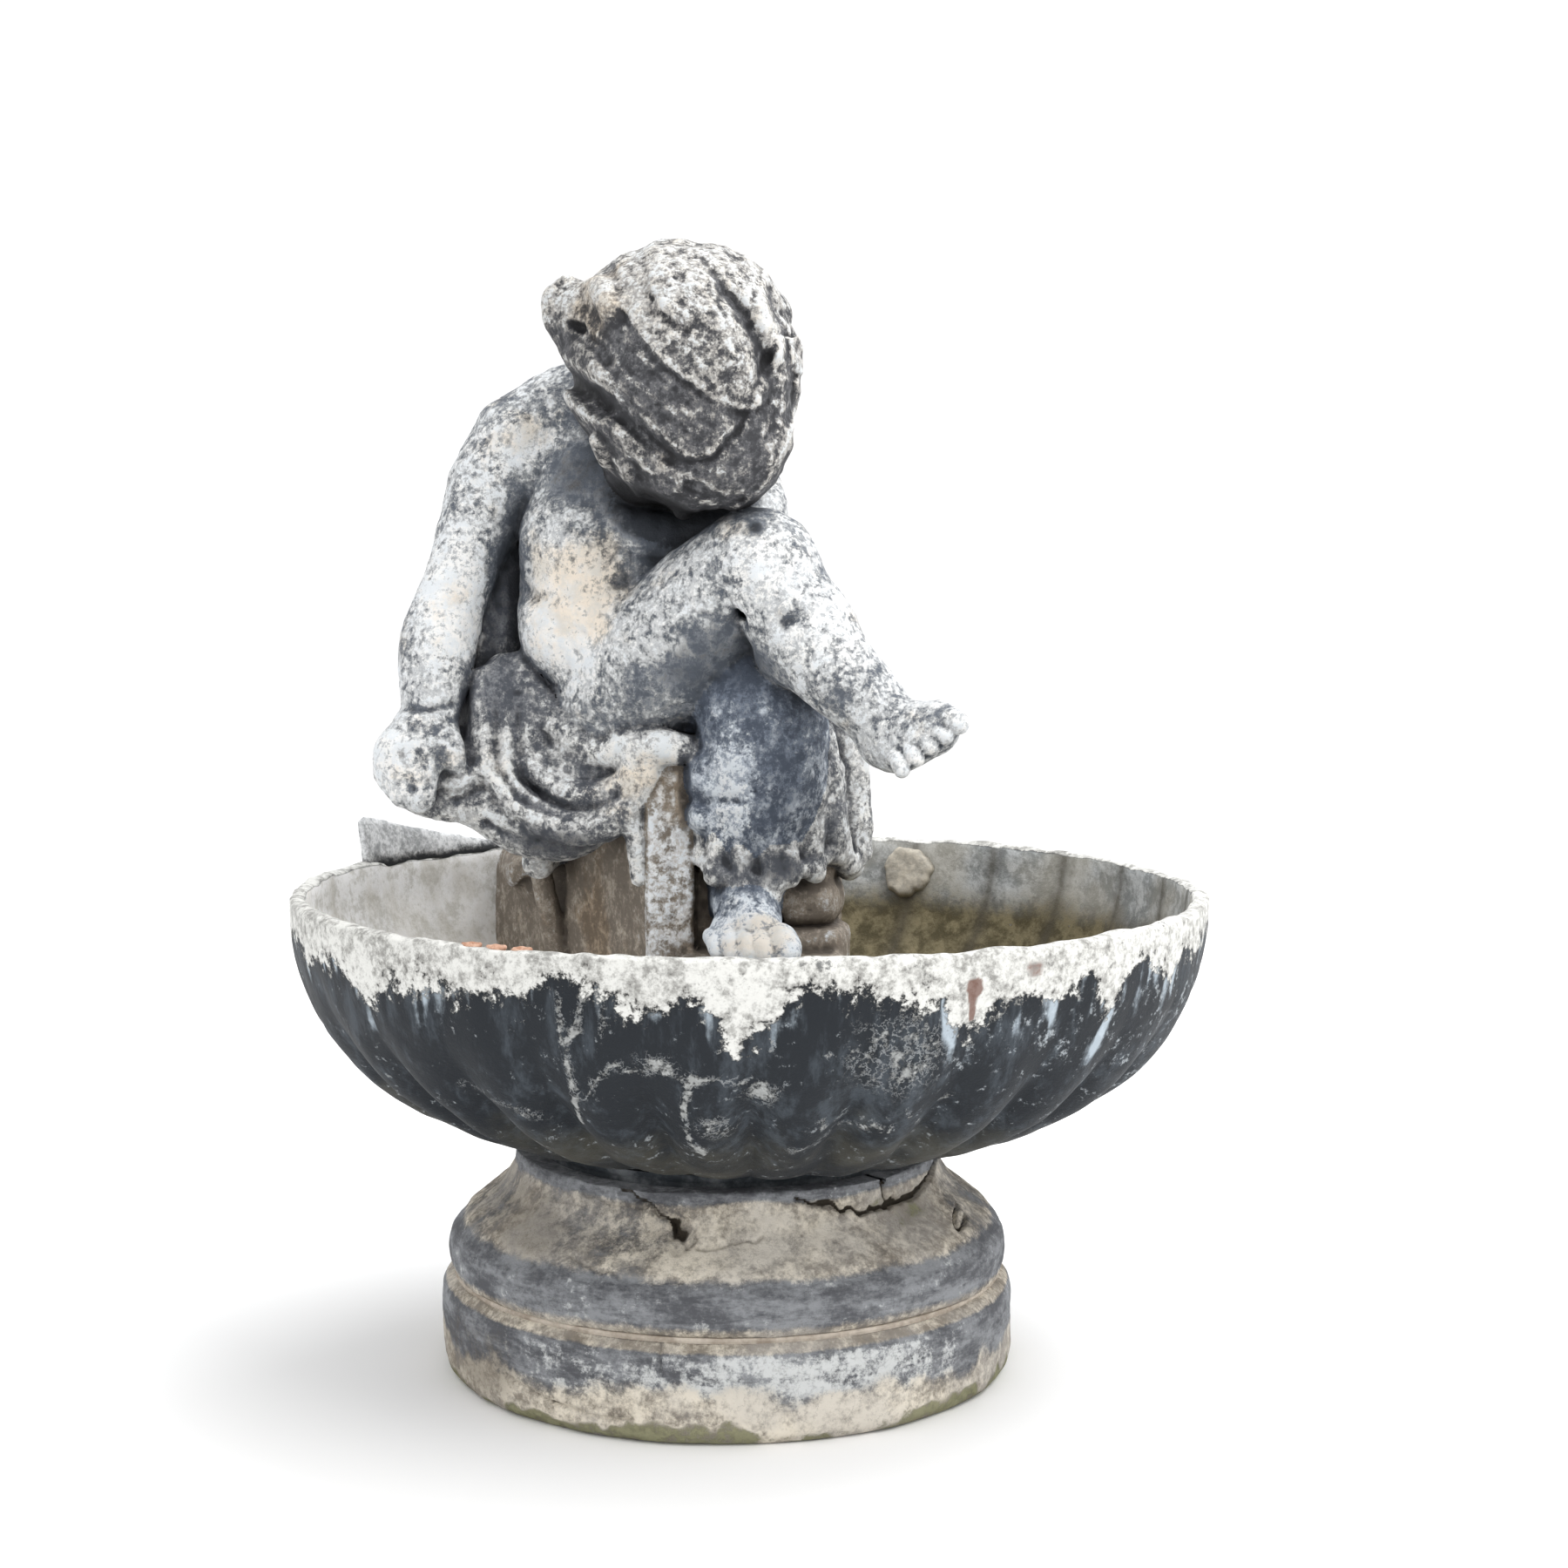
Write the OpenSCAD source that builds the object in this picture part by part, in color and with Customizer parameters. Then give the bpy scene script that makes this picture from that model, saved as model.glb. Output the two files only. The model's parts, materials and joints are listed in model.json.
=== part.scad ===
// Lead bird bath: a drowsing putto on a draped plinth inside a lobed shell basin,
// standing on a round moulded socle.  Units are millimetres, +Z is up, the front is -Y,
// and the origin is the centre of the socle's underside.

/* [Socle] */
// Radius of the socle's lower drum
drum_r = 126; // [110:1:140]
// Height of the lower drum up to the groove
drum_h = 43; // [36:1:50]
// Radius of the rounded moulding above the groove
torus_r = 123; // [108:1:130]
// Radius of the neck under the basin
neck_r = 93; // [86:1:100]
// Height of the whole socle
socle_h = 97; // [90:1:104]
// Thickness of the socle's lead wall
socle_wall = 8; // [5:0.5:12]

/* [Basin] */
// Half of the basin's width, left to right
basin_rx = 200; // [180:1:220]
// Half of the basin's depth, front to back
basin_ry = 186; // [170:1:200]
// Height of the rim above the ground
rim_z = 210; // [195:1:225]
// How far the basin's centre stands to the right of the socle's
basin_x = 9.5; // [0:0.5:15]
// Thickness of the basin's wall
basin_wall = 7; // [5:0.5:10]
// Number of lobes round the basin
lobes = 28; // [20:2:36]
// How deep the creases between lobes are cut
lobe_depth = 5; // [2:0.5:7]

/* [Seat] */
// Height of the seat's top above the ground
seat_z = 262; // [250:1:272]
// Height of the rock that the planted foot stands on
ledge_z = 186; // [176:1:192]

/* [Figure] */
// Number of sides of the figure's rounded forms
figure_fn = 16; // [12:2:24]
// Radius of the iron bar inside the figure
bar_r = 5; // [4:0.5:7]
// Radius of the iron wires inside the limbs
wire_r = 2.5; // [2:0.5:3]

/* [Hidden] */

lead = "#6f747b";
pale_lead = "#a9a79e";
dark_lead = "#3a424c";
dust = "#a3988a";
plaster = "#cfc6b4";
iron = "#6b4a36";

round_fn = 96;
foot_z = 103;          // underside of the basin, top of its foot ring
foot_r = 84;           // outer radius of the foot ring
socket_r = 47;         // bore of the foot ring
spigot_r = 46;         // the socle's raised ring, which stands in that bore
spigot_bore_r = 37;
spigot_top = foot_z - 0.6;
well_depth = 10;       // room under the basin for the fixing nut
dowel_r = 4;
dowel_ring_r = 66;
dowel_gap = 0.3;
floor_z = foot_z + basin_wall + 1;
big = 400;
gap = 0.3;
bend_swell = 1.08;

bar_foot = [-14, 16, 90];
bar_hip = [-14, 16, 276];
bar_chest = [-42, 30, 345];
bar_nape = [-44, 32, 404];
bar_head = [-26, -4, 432];
head_core_at = [-22, -15, 432];
head_core_r = 35;

// ---- small helpers -------------------------------------------------------------

// Every ball is [x, y, z, radius]; a limb is a chain of balls, hulled two at a time.
module ball(b) {
    translate([b[0], b[1], b[2]]) sphere(r = b[3], $fn = figure_fn);
}

module chain(balls) {
    for (i = [0 : len(balls) - 2])
        hull() {
            ball(balls[i]);
            ball(balls[i + 1]);
        }
}

module lump(balls) {
    hull() for (b = balls) ball(b);
}

// A straight round rod from point p to point q.
module rod(p, q, r, sides) {
    d = q - p;
    flat = norm([d[0], d[1]]);
    translate(p)
        rotate([0, atan2(flat, d[2]), atan2(d[1], d[0])])
            cylinder(r = r, h = norm(d), $fn = sides);
}

// Rods joined end to end; a ball slightly fatter than the rod rounds each bend.
module bent_rod(points, r, sides) {
    for (i = [0 : len(points) - 2]) rod(points[i], points[i + 1], r, sides);
    for (i = [1 : len(points) - 2]) translate(points[i]) sphere(r = r * bend_swell, $fn = sides);
}

// ---- socle ---------------------------------------------------------------------

module socle_drum() {
    color(dust) rotate_extrude($fn = round_fn) polygon([
        [drum_r - 5, 0], [drum_r - 1, 3], [drum_r, 12], [drum_r, drum_h - 9],
        [drum_r - 2.5, drum_h - 3], [drum_r - 7, drum_h],
        [drum_r - socle_wall - 2, drum_h], [drum_r - socle_wall - 2, 0]]);
}

module socle_neck_outline() {
    polygon([
        [drum_r - socle_wall - 2, drum_h], [torus_r - 5, drum_h], [torus_r - 1, drum_h + 4],
        [torus_r, drum_h + 11], [torus_r - 1.5, drum_h + 18], [torus_r - 6, drum_h + 23],
        [torus_r - 8, drum_h + 26], [torus_r - 15, drum_h + 31], [neck_r + 6, drum_h + 38],
        [neck_r + 1.5, drum_h + 45], [neck_r, socle_h - 3], [neck_r, socle_h],
        [spigot_r, socle_h], [spigot_r, spigot_top], [spigot_bore_r, spigot_top],
        [spigot_bore_r, socle_h - socle_wall],
        [neck_r - socle_wall, socle_h - socle_wall], [neck_r - socle_wall, drum_h + 45],
        [neck_r - 4, drum_h + 36], [torus_r - 22, drum_h + 27], [torus_r - 15, drum_h + 20],
        [torus_r - 11, drum_h + 11]]);
}

module socle_neck() {
    color(dust) difference() {
        rotate_extrude($fn = round_fn) socle_neck_outline();
        dowel_holes(dowel_r + 0.02);
    }
}

// The burned lead bead that fills the bottom of the groove between drum and neck.
module socle_seam() {
    drum_edge = [drum_r - 7, drum_h];
    neck_edge = [torus_r - 5, drum_h];
    color(pale_lead) rotate_extrude($fn = round_fn) polygon([
        neck_edge, drum_edge, drum_edge + [1.5, -1], drum_edge + [2.1, 0.3],
        neck_edge + [2.6, 1.3], neck_edge + [1.4, 1.4]]);
}

// Mortar poured into the hollow socle; its flat underside is level with the drum's.
module socle_core() {
    color(plaster) difference() {
        rotate_extrude($fn = round_fn) polygon([
            [0, 0], [drum_r - socle_wall - 2, 0], [drum_r - socle_wall - 2, drum_h],
            [torus_r - 11, drum_h + 11], [torus_r - 15, drum_h + 20],
            [torus_r - 22, drum_h + 27], [neck_r - 4, drum_h + 36],
            [neck_r - socle_wall, drum_h + 45], [neck_r - socle_wall, socle_h - socle_wall],
            [spigot_bore_r, socle_h - socle_wall],
            [spigot_bore_r, socle_h - well_depth - socle_wall],
            [0, socle_h - well_depth - socle_wall]]);
        dowel_holes(dowel_r + 0.02);
    }
}

module dowel_holes(r) {
    for (side = [-1, 1])
        translate([side * dowel_ring_r, 0, socle_h - 30]) cylinder(r = r, h = 60, $fn = 32);
}

// Two iron dowels set in the socle, which stop the loose basin from turning.
module locating_dowels() {
    color(iron) for (side = [-1, 1])
        translate([side * dowel_ring_r, 0, socle_h - 30]) cylinder(r = dowel_r, h = 34, $fn = 32);
}

// ---- basin ---------------------------------------------------------------------

ring_points = 4;                       // points round each lobe
around = lobes * ring_points;
wall_rings = 9;
section_p = 1.53;                      // how square the section's side is
section_q = 2.56;                      // how flat the section's bottom is

// Height and fraction of the rim's size at step t of the section, 0 rim to 1 floor.
function section_z(t, low) = rim_z - (rim_z - low) * pow(sin(90 * t), 2 / section_q);
function section_s(t, inner) = inner + (1 - inner) * pow(cos(90 * t), 2 / section_p);

// One ring of the lobed wall: dent is how deep its creases are.
function lobed_ring(rx, ry, z, dent) = [
    for (i = [0 : around - 1])
        let (a = 360 * i / around,
             crease = 1 - abs(sin(lobes * a / 2)))
        [basin_x + (rx - dent * crease) * cos(a), (ry - dent * crease) * sin(a), z]];

function lobe_fade(t) = 0.35 + 0.65 * sin(180 * min(0.95, t + 0.08));

outer_floor_s = (foot_r + 3) / basin_rx;
inner_floor_s = (foot_r - 6) / basin_rx;

outer_rings = [
    for (k = [0 : wall_rings])
        let (t = k / wall_rings, s = section_s(t, outer_floor_s))
        lobed_ring(basin_rx * s, basin_ry * s, section_z(t, foot_z), lobe_depth * lobe_fade(t))];

inner_rings = [
    for (k = [wall_rings : -1 : 0])
        let (t = k / wall_rings, s = section_s(t, inner_floor_s))
        lobed_ring((basin_rx - basin_wall) * s, (basin_ry - basin_wall) * s,
                   k == 0 ? rim_z : section_z(t, floor_z), 0.45 * lobe_depth * lobe_fade(t))];

basin_rings = concat([for (k = [wall_rings : -1 : 0]) outer_rings[k]],
                     [for (k = [wall_rings : -1 : 0]) inner_rings[k]]);
ring_count = len(basin_rings);

// Rings run from the outer floor up the outside, over the rim and down the inside.
module basin_solid() {
    points = concat([for (ring = basin_rings) each ring],
                    [[basin_x, 0, foot_z], [basin_x, 0, floor_z]]);
    bottom = ring_count * around;
    top = bottom + 1;
    last = (ring_count - 1) * around;
    walls = [for (k = [0 : ring_count - 2], i = [0 : around - 1])
        let (j = (i + 1) % around, a = k * around, b = a + around)
        each [[a + i, b + i, b + j], [a + i, b + j, a + j]]];
    under = [for (i = [0 : around - 1]) [bottom, i, (i + 1) % around]];
    floor_faces = [for (i = [0 : around - 1]) [top, last + (i + 1) % around, last + i]];
    polyhedron(points = points, faces = concat(walls, under, floor_faces), convexity = 8);
}

module basin_shell() {
    color(dark_lead) difference() {
        basin_solid();
        translate([bar_foot[0], bar_foot[1], foot_z - 5])
            cylinder(r = bar_r + gap, h = basin_wall + 20, $fn = 32);
    }
}

// Ring under the basin that stands on the socle; its bore takes the socle's spigot.
module basin_foot() {
    color(dark_lead) difference() {
        translate([0, 0, socle_h]) cylinder(r = foot_r, h = foot_z - socle_h, $fn = round_fn);
        translate([0, 0, socle_h - 1])
            cylinder(r = socket_r, h = foot_z - socle_h + 2, $fn = round_fn);
        dowel_holes(dowel_r + dowel_gap);
    }
}

// Solder fillet in the corner between the foot ring and the basin's underside.
module foot_seam() {
    color(lead) rotate_extrude($fn = round_fn)
        polygon([[foot_r, foot_z], [foot_r, foot_z - 4], [foot_r + 1, foot_z - 2.6], [foot_r + 2.4, foot_z]]);
}

// How high the hinge crest stands above the rim, at each angle round the basin.
crest_heights = [[78, 12], [86, 7], [94, 5], [99, 9], [109, 13], [119, 8], [124, 4], [131, 4],
                 [140, 11], [148, 18], [155, 23.5]];
crest_step = 2.5;
crest_inner = 6.5;                     // how far inside the rim's outer edge the crest begins
crest_outer = 2.8;
crest_flare = 4;                       // how far the tallest crest leans outward

function crest_point(a, inset, z) = [
    basin_x + (basin_rx - inset) * cos(a), (basin_ry - inset) * sin(a), rim_z + z];

// Crest along the back of the rim: the shell's two hinge ears and the umbo between them.
module hinge_crest() {
    first = crest_heights[0][0];
    last = crest_heights[len(crest_heights) - 1][0];
    angles = [for (a = [first : crest_step : last + 0.01]) a];
    tallest = max([for (c = crest_heights) c[1]]);
    points = [for (a = angles)
        let (h = lookup(a, crest_heights), lean = crest_flare * h / tallest)
        each [crest_point(a, crest_inner, 0), crest_point(a, crest_outer, 0),
              crest_point(a, crest_outer - lean, h), crest_point(a, crest_inner - lean, h)]];
    count = len(angles);
    sides = [for (k = [0 : count - 2], i = [0 : 3])
        let (j = (i + 1) % 4, p = 4 * k, q = p + 4)
        each [[p + i, p + j, q + j], [p + i, q + j, q + i]]];
    end = 4 * (count - 1);
    caps = [[0, 3, 2], [0, 2, 1], [end, end + 1, end + 2], [end, end + 2, end + 3]];
    color(pale_lead) polyhedron(points = points, faces = concat(sides, caps));
}

// Round lead patch let on to the inside of the wall, at the back on the right.
module interior_patch() {
    color(dust) difference() {
        translate([87, 157, 196]) rotate([72, 0, -24]) cylinder(r = 11.5, h = 14, center = true, $fn = 24);
        basin_solid();
        translate([83.5, 149, 195]) rotate([72, 0, -24]) cylinder(r = 16, h = 12, center = true, $fn = 24);
        translate([94, 178, 200]) rotate([72, 0, -24]) cylinder(r = 30, h = 14, center = true, $fn = 24);
    }
}

// Three soldered plugs that mend old holes in the top of the rim, front left.
module rim_plugs() {
    color(iron) for (a = [236, 239.5, 243])
        translate([basin_x + (basin_rx - 6) * cos(a), (basin_ry - 6) * sin(a), rim_z])
            cylinder(r = 3.4, h = 1.2, $fn = 24);
}

// ---- seat ----------------------------------------------------------------------

// Tapered prism standing on the floor: outline points are [x, y].
module prism(outline, low, high, shrink) {
    hull() {
        translate([0, 0, low]) linear_extrude(1) polygon(outline);
        translate([0, 0, high - 1]) linear_extrude(1)
            polygon([for (p = outline) [p[0] * shrink, p[1] * shrink + 2]]);
    }
}

plinth_outline = [[-34, -21], [46, -14], [52, 30], [44, 80], [-60, 84], [-70, 58]];
core_outline = [[-26, 0], [34, 2], [40, 28], [34, 66], [-48, 68], [-52, 50]];
core_low = floor_z + 6;
core_top = seat_z - 58;

module seat_core_form() {
    translate([0, 0, core_low]) linear_extrude(core_top - core_low) polygon(core_outline);
}

module figure_forms() {
    right_leg_form();
    left_leg_form();
    torso_form();
    right_arm_form();
}

module drapery_forms() {
    lap_drapery_form();
    side_drapery_form();
    back_drapery_form();
}

// Narrow square pier down the plinth's front left corner.
module pier() {
    translate([-34, -27, floor_z]) cube([17, 12, seat_z - floor_z + 2]);
}

// Hollow cast plinth with its pier.
module seat_plinth() {
    color(dust) difference() {
        union() {
            prism(plinth_outline, floor_z, seat_z, 0.97);
            pier();
        }
        seat_core_form();
        spine_hole();
        basin_solid();
        figure_forms();
        drapery_forms();
    }
}

// Foundry core left inside the plinth.
module seat_core() {
    color(plaster) difference() {
        seat_core_form();
        translate(bar_foot) cylinder(r = bar_r + gap, h = seat_z - bar_foot[2], $fn = 32);
    }
}

// Rockwork that joins the plinth to the back wall of the basin.
module rock_base() {
    color(dust) difference() {
        union() {
            lump([[-66, 88, 190, 20], [-60, 120, 176, 26], [40, 96, 186, 20], [36, 128, 176, 24],
                  [-56, 96, 146, 24], [40, 96, 146, 24]]);
            lump([[-88, 110, 184, 12], [-64, 64, 188, 13], [-58, 68, 130, 15], [-74, 92, 150, 16],
                  [-60, 120, 180, 20]]);
        }
        basin_solid();
        prism(plinth_outline, floor_z, seat_z, 0.97);
        drapery_forms();
        figure_forms();
    }
}

// Layered rock under the planted foot, at the plinth's front.
module foot_rock() {
    color(dust) difference() {
        union() {
            prism([[-20, -72], [26, -74], [52, -40], [50, -8], [-20, -16]], floor_z, ledge_z, 1);
            prism([[24, -30], [48, -26], [54, 6], [20, 6]], floor_z, ledge_z + 12, 1);
            prism([[22, -20], [44, -17], [52, 12], [20, 10]], floor_z, ledge_z + 27, 1);
        }
        basin_solid();
        prism(plinth_outline, floor_z, seat_z, 0.97);
        pier();
        right_leg_form();
        left_leg_form();
        drapery_forms();
    }
}

// Bead of solder along the foot of the pier, where the plinth meets the basin's floor.
module seat_seam() {
    color(lead) difference() {
        translate([-50, -27, floor_z]) rotate([0, 90, 0]) cylinder(r = 3, h = 30, $fn = 24);
        translate([0, 0, floor_z - 20]) cube([big, big, 40], center = true);
        seat_plinth();
        foot_rock();
    }
}

// ---- drapery -------------------------------------------------------------------

module lap_drapery_form() {
    chain([[-143, -6, 257, 9], [-124, -4, 250, 12], [-102, -2, 238, 14], [-80, -4, 233, 13],
           [-58, -12, 240, 11], [-40, -22, 256, 10], [-28, -24, 268, 8]]);
    lump([[-118, 4, 262, 15], [-100, 24, 266, 18], [-72, 4, 262, 20], [-48, -6, 266, 15],
          [-84, 10, 243, 18], [-60, 20, 240, 18]]);
}

module side_drapery_form() {
    chain([[44, 2, 272, 12], [50, 6, 252, 12], [53, 8, 234, 10], [48, 2, 218, 8], [30, -8, 214, 7]]);
}

module back_drapery_form() {
    lump([[-84, 44, 266, 16], [-60, 78, 264, 16], [30, 72, 264, 16], [44, 30, 268, 12]]);
    lump([[-84, 70, 244, 14], [-66, 96, 222, 12], [36, 92, 222, 12], [30, 80, 250, 14]]);
}

module lap_drapery() {
    color(pale_lead) difference() {
        lap_drapery_form();
        back_drapery_form();
        figure_forms();
    }
}

module side_drapery() {
    color(pale_lead) difference() {
        side_drapery_form();
        back_drapery_form();
        figure_forms();
    }
}

module back_drapery() {
    color(pale_lead) difference() {
        back_drapery_form();
        figure_forms();
        spine_hole();
    }
}

// ---- figure --------------------------------------------------------------------

module torso_form() {
    chain([[-30, 30, 290, 38], [-46, 20, 322, 43], [-52, 24, 362, 40], [-50, 36, 396, 36], [-38, 34, 418, 24]]);
    chain([[-92, 30, 406, 21], [-50, 38, 408, 30], [-6, 40, 404, 23]]);
    lump([[-44, 40, 284, 34], [-4, 38, 284, 34]]);
}

module head_form() {
    lump([[-22, -22, 436, 50], [-22, 2, 440, 44], [-16, -46, 410, 32], [-22, -34, 448, 40], [-20, -2, 408, 34]]);
    lump([[-20, 6, 396, 26], [-20, -26, 392, 24], [-21, 16, 386, 12]]);
    lump([[-68, -6, 458, 12], [-50, 0, 460, 20]]);
    lump([[-30, 10, 430, 26], [-40, 32, 420, 22]]);
}

module torso_core_form() {
    chain([[-30, 30, 292, 28], [-46, 22, 322, 33], [-52, 26, 362, 30], [-50, 36, 392, 26]]);
}

module right_arm_form() {
    chain([[-93, 30, 408, 22], [-103, 27, 388, 18.5], [-111, 22, 370, 16.5], [-119, 17, 346, 15.5],
           [-123, 13, 331, 16.5], [-127, 5, 309, 16.5], [-127.5, -2, 291, 12.5],
           [-132, -6, 278, 15], [-140, -10, 266, 13]]);
    chain([[-136, -12, 274, 10], [-147, -14, 264, 7], [-150, -13, 258, 6]]);
}

module left_arm_form() {
    chain([[-5, 40, 405, 23], [8, 27, 390, 17], [14, 10, 377, 14], [10, -2, 370, 12.5],
           [-8, -6, 365, 11.5], [-38, -7, 364, 10.5]]);
}

module right_leg_form() {
    chain([[-42, 3, 294, 31.5], [-23, -12, 318, 30], [-2, -26, 341, 26], [12, -35, 352, 24],
           [24, -41, 337, 23.5], [39, -48, 318, 22], [52, -55, 301, 17], [61, -59, 289, 14],
           [69, -60, 281, 13], [81, -69, 283, 12], [90, -75, 288, 9]]);
}

module left_leg_form() {
    chain([[-10, 22, 288, 33], [2, -2, 296, 31], [12, -22, 293, 29], [13, -21, 264, 29],
           [10, -20, 240, 25], [9, -18, 220, 17.5], [7, -17, 207, 14], [8, -35, 203, 12],
           [14, -54, 197, 11], [18, -66, 193, 8]]);
}

module torso() {
    color(pale_lead) difference() {
        torso_form();
        torso_core_form();
        right_leg_form();
        left_leg_form();
        right_arm_form();
        left_arm_form();
        head_form();
        spine_hole();
        limb_holes();
    }
}

module torso_core() {
    color(plaster) difference() {
        torso_core_form();
        right_leg_form();
        left_leg_form();
        right_arm_form();
        left_arm_form();
        head_form();
        spine_hole();
        limb_holes();
    }
}

module head() {
    color(lead) difference() {
        head_form();
        ball([head_core_at[0], head_core_at[1], head_core_at[2], head_core_r + 3]);
        right_leg_form();
        left_arm_form();
        spine_hole();
    }
}

// Round plaster core, shrunk clear of the lead about it.
module head_core() {
    color(plaster) difference() {
        translate(head_core_at) sphere(r = head_core_r, $fn = 48);
        rod(bar_nape, bar_head, bar_r + gap, 32);
    }
}

module right_arm() {
    color(pale_lead) difference() {
        right_arm_form();
        limb_holes();
    }
}

module left_arm() {
    color(lead) difference() {
        left_arm_form();
        right_leg_form();
        limb_holes();
    }
}

module right_leg() {
    color(pale_lead) difference() {
        right_leg_form();
        spine_hole();
        limb_holes();
    }
}

module left_leg() {
    color(dark_lead) difference() {
        left_leg_form();
        right_leg_form();
        spine_hole();
        limb_holes();
    }
}

// ---- ironwork inside -----------------------------------------------------------

bar_path = [bar_foot, bar_hip, bar_chest, bar_nape, bar_head];

wire_paths = [
    [[-58, 32, 402], [-95, 30, 404], [-111, 22, 370], [-123, 13, 331], [-127.5, -2, 291]],
    [[-38, 42, 398], [-5, 36, 402], [8, 27, 390], [14, 8, 376], [-4, -6, 365]],
    [[-54, 36, 312], [-22, -8, 318], [12, -35, 352], [39, -48, 318], [61, -59, 289]],
    [[-30, 48, 308], [8, -6, 288], [13, -21, 264], [9, -18, 220]]];

module spine_hole() {
    bent_rod(bar_path, bar_r + gap, 16);
}

module limb_holes() {
    for (path = wire_paths) bent_rod(path, wire_r + gap, 12);
}

// Iron bar from under the basin up through plinth, body and head.
module spine_bar() {
    color(iron) bent_rod(bar_path, bar_r, 32);
}

// Iron wires cast into both arms and both legs.
module limb_wires() {
    color(iron) for (path = wire_paths) bent_rod(path, wire_r, 24);
}

nut_h = 6;
washer_h = 2.5;

module fixing_nut() {
    color(iron) difference() {
        translate([bar_foot[0], bar_foot[1], foot_z - washer_h - nut_h]) cylinder(r = 9, h = nut_h, $fn = 6);
        spine_bore();
    }
}

module fixing_washer() {
    color(iron) difference() {
        translate([bar_foot[0], bar_foot[1], foot_z - washer_h]) cylinder(r = 11, h = washer_h, $fn = 32);
        spine_bore();
    }
}

module spine_bore() {
    translate([bar_foot[0], bar_foot[1], socle_h - 20]) cylinder(r = bar_r + gap, h = 60, $fn = 32);
}

socle_drum();
socle_neck();
socle_seam();
socle_core();
locating_dowels();
basin_shell();
basin_foot();
foot_seam();
hinge_crest();
interior_patch();
rim_plugs();
seat_plinth();
seat_core();
rock_base();
foot_rock();
seat_seam();
lap_drapery();
side_drapery();
back_drapery();
torso();
torso_core();
head();
head_core();
right_arm();
left_arm();
right_leg();
left_leg();
spine_bar();
limb_wires();
fixing_nut();
fixing_washer();
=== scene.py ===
"""Weathered lead bird bath: a drowsing putto in a lobed shell basin on a moulded socle."""
import json
import math

import bpy
import numpy as np
import openvdb
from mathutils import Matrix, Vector


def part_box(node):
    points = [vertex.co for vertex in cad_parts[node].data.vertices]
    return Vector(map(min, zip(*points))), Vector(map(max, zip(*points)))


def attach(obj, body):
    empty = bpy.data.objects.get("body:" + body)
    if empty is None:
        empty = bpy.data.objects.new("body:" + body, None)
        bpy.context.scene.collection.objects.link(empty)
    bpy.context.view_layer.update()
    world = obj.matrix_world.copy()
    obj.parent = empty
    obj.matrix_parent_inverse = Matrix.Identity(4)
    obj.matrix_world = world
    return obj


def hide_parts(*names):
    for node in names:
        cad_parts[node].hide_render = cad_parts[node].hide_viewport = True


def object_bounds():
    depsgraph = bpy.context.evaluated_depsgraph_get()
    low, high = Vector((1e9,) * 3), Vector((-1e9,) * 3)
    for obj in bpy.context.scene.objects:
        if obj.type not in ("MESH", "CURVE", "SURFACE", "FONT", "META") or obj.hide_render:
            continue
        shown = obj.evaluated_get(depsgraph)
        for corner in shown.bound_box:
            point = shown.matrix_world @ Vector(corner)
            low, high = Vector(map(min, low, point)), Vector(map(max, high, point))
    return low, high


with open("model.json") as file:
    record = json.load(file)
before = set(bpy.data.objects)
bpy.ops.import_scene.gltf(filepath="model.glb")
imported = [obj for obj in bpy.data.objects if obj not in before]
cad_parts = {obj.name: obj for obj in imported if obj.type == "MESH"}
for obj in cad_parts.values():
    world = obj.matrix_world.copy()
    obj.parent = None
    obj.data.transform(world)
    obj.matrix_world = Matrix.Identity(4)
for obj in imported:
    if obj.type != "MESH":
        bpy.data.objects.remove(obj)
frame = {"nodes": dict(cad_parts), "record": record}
CAD_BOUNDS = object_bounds()
MM = 1000.0                      # millimetres in a metre


# ---- places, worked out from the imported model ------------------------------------

def box_mm(node):
    """Lowest and highest corner of a CAD node, in millimetres."""
    low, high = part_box(node)
    return np.array(low) * MM, np.array(high) * MM


def footprint(node):
    """Centre and half sizes of a CAD node's box in plan, in millimetres."""
    low, high = box_mm(node)
    return (low + high)[:2] / 2, (high - low)[:2] / 2


def seat_corner():
    """Front right top corner of the plinth that the figure sits on."""
    low, high = box_mm("seat_plinth")
    return np.array([high[0], low[1], high[2]])


# The figure, its cloth, its plinth and the rocks are sculpted round a seat with that corner here.
SCULPTED_CORNER = np.array([52.0, -27.0, 264.0])
FIGURE_SHIFT = seat_corner() - SCULPTED_CORNER

# The basin's section, as in the CAD: its wall, how square its side is and how flat its bottom is.
BASIN_WALL = 7.0
SECTION_P = 1.53
SECTION_Q = 2.56


# ---- noise ------------------------------------------------------------------------

CELL_CORNERS = [np.array([k & 1, k >> 1 & 1, k >> 2]) for k in range(8)]


class Noise:
    """Smooth repeatable noise between -1 and 1, in space."""

    def __init__(self, seed, cells=32):
        self.cells = cells
        self.table = np.random.default_rng(seed).uniform(-1, 1, (cells,) * 3).astype(np.float32)

    def __call__(self, points, scale):
        q = np.asarray(points, np.float32) / scale
        base = np.floor(q).astype(np.int64)
        f = q - base
        f = f * f * (3 - 2 * f)
        total = 0
        for step in CELL_CORNERS:
            i = (base + step) % self.cells
            weight = np.prod(np.where(step == 1, f, 1 - f), axis=-1)
            total = total + weight * self.table[i[..., 0], i[..., 1], i[..., 2]]
        return total

    def layers(self, points, scale, count=3):
        """Noise at a scale and at halves of it."""
        return sum(self(points + 17.3 * k, scale / 2 ** k) / 2 ** k for k in range(count))


grit = Noise(5)


# ---- clay: solids described by distance ---------------------------------------------

FAR = 14.0                       # distances are kept only this near a surface
STEP = 1.15    # spacing of the samples


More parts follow.
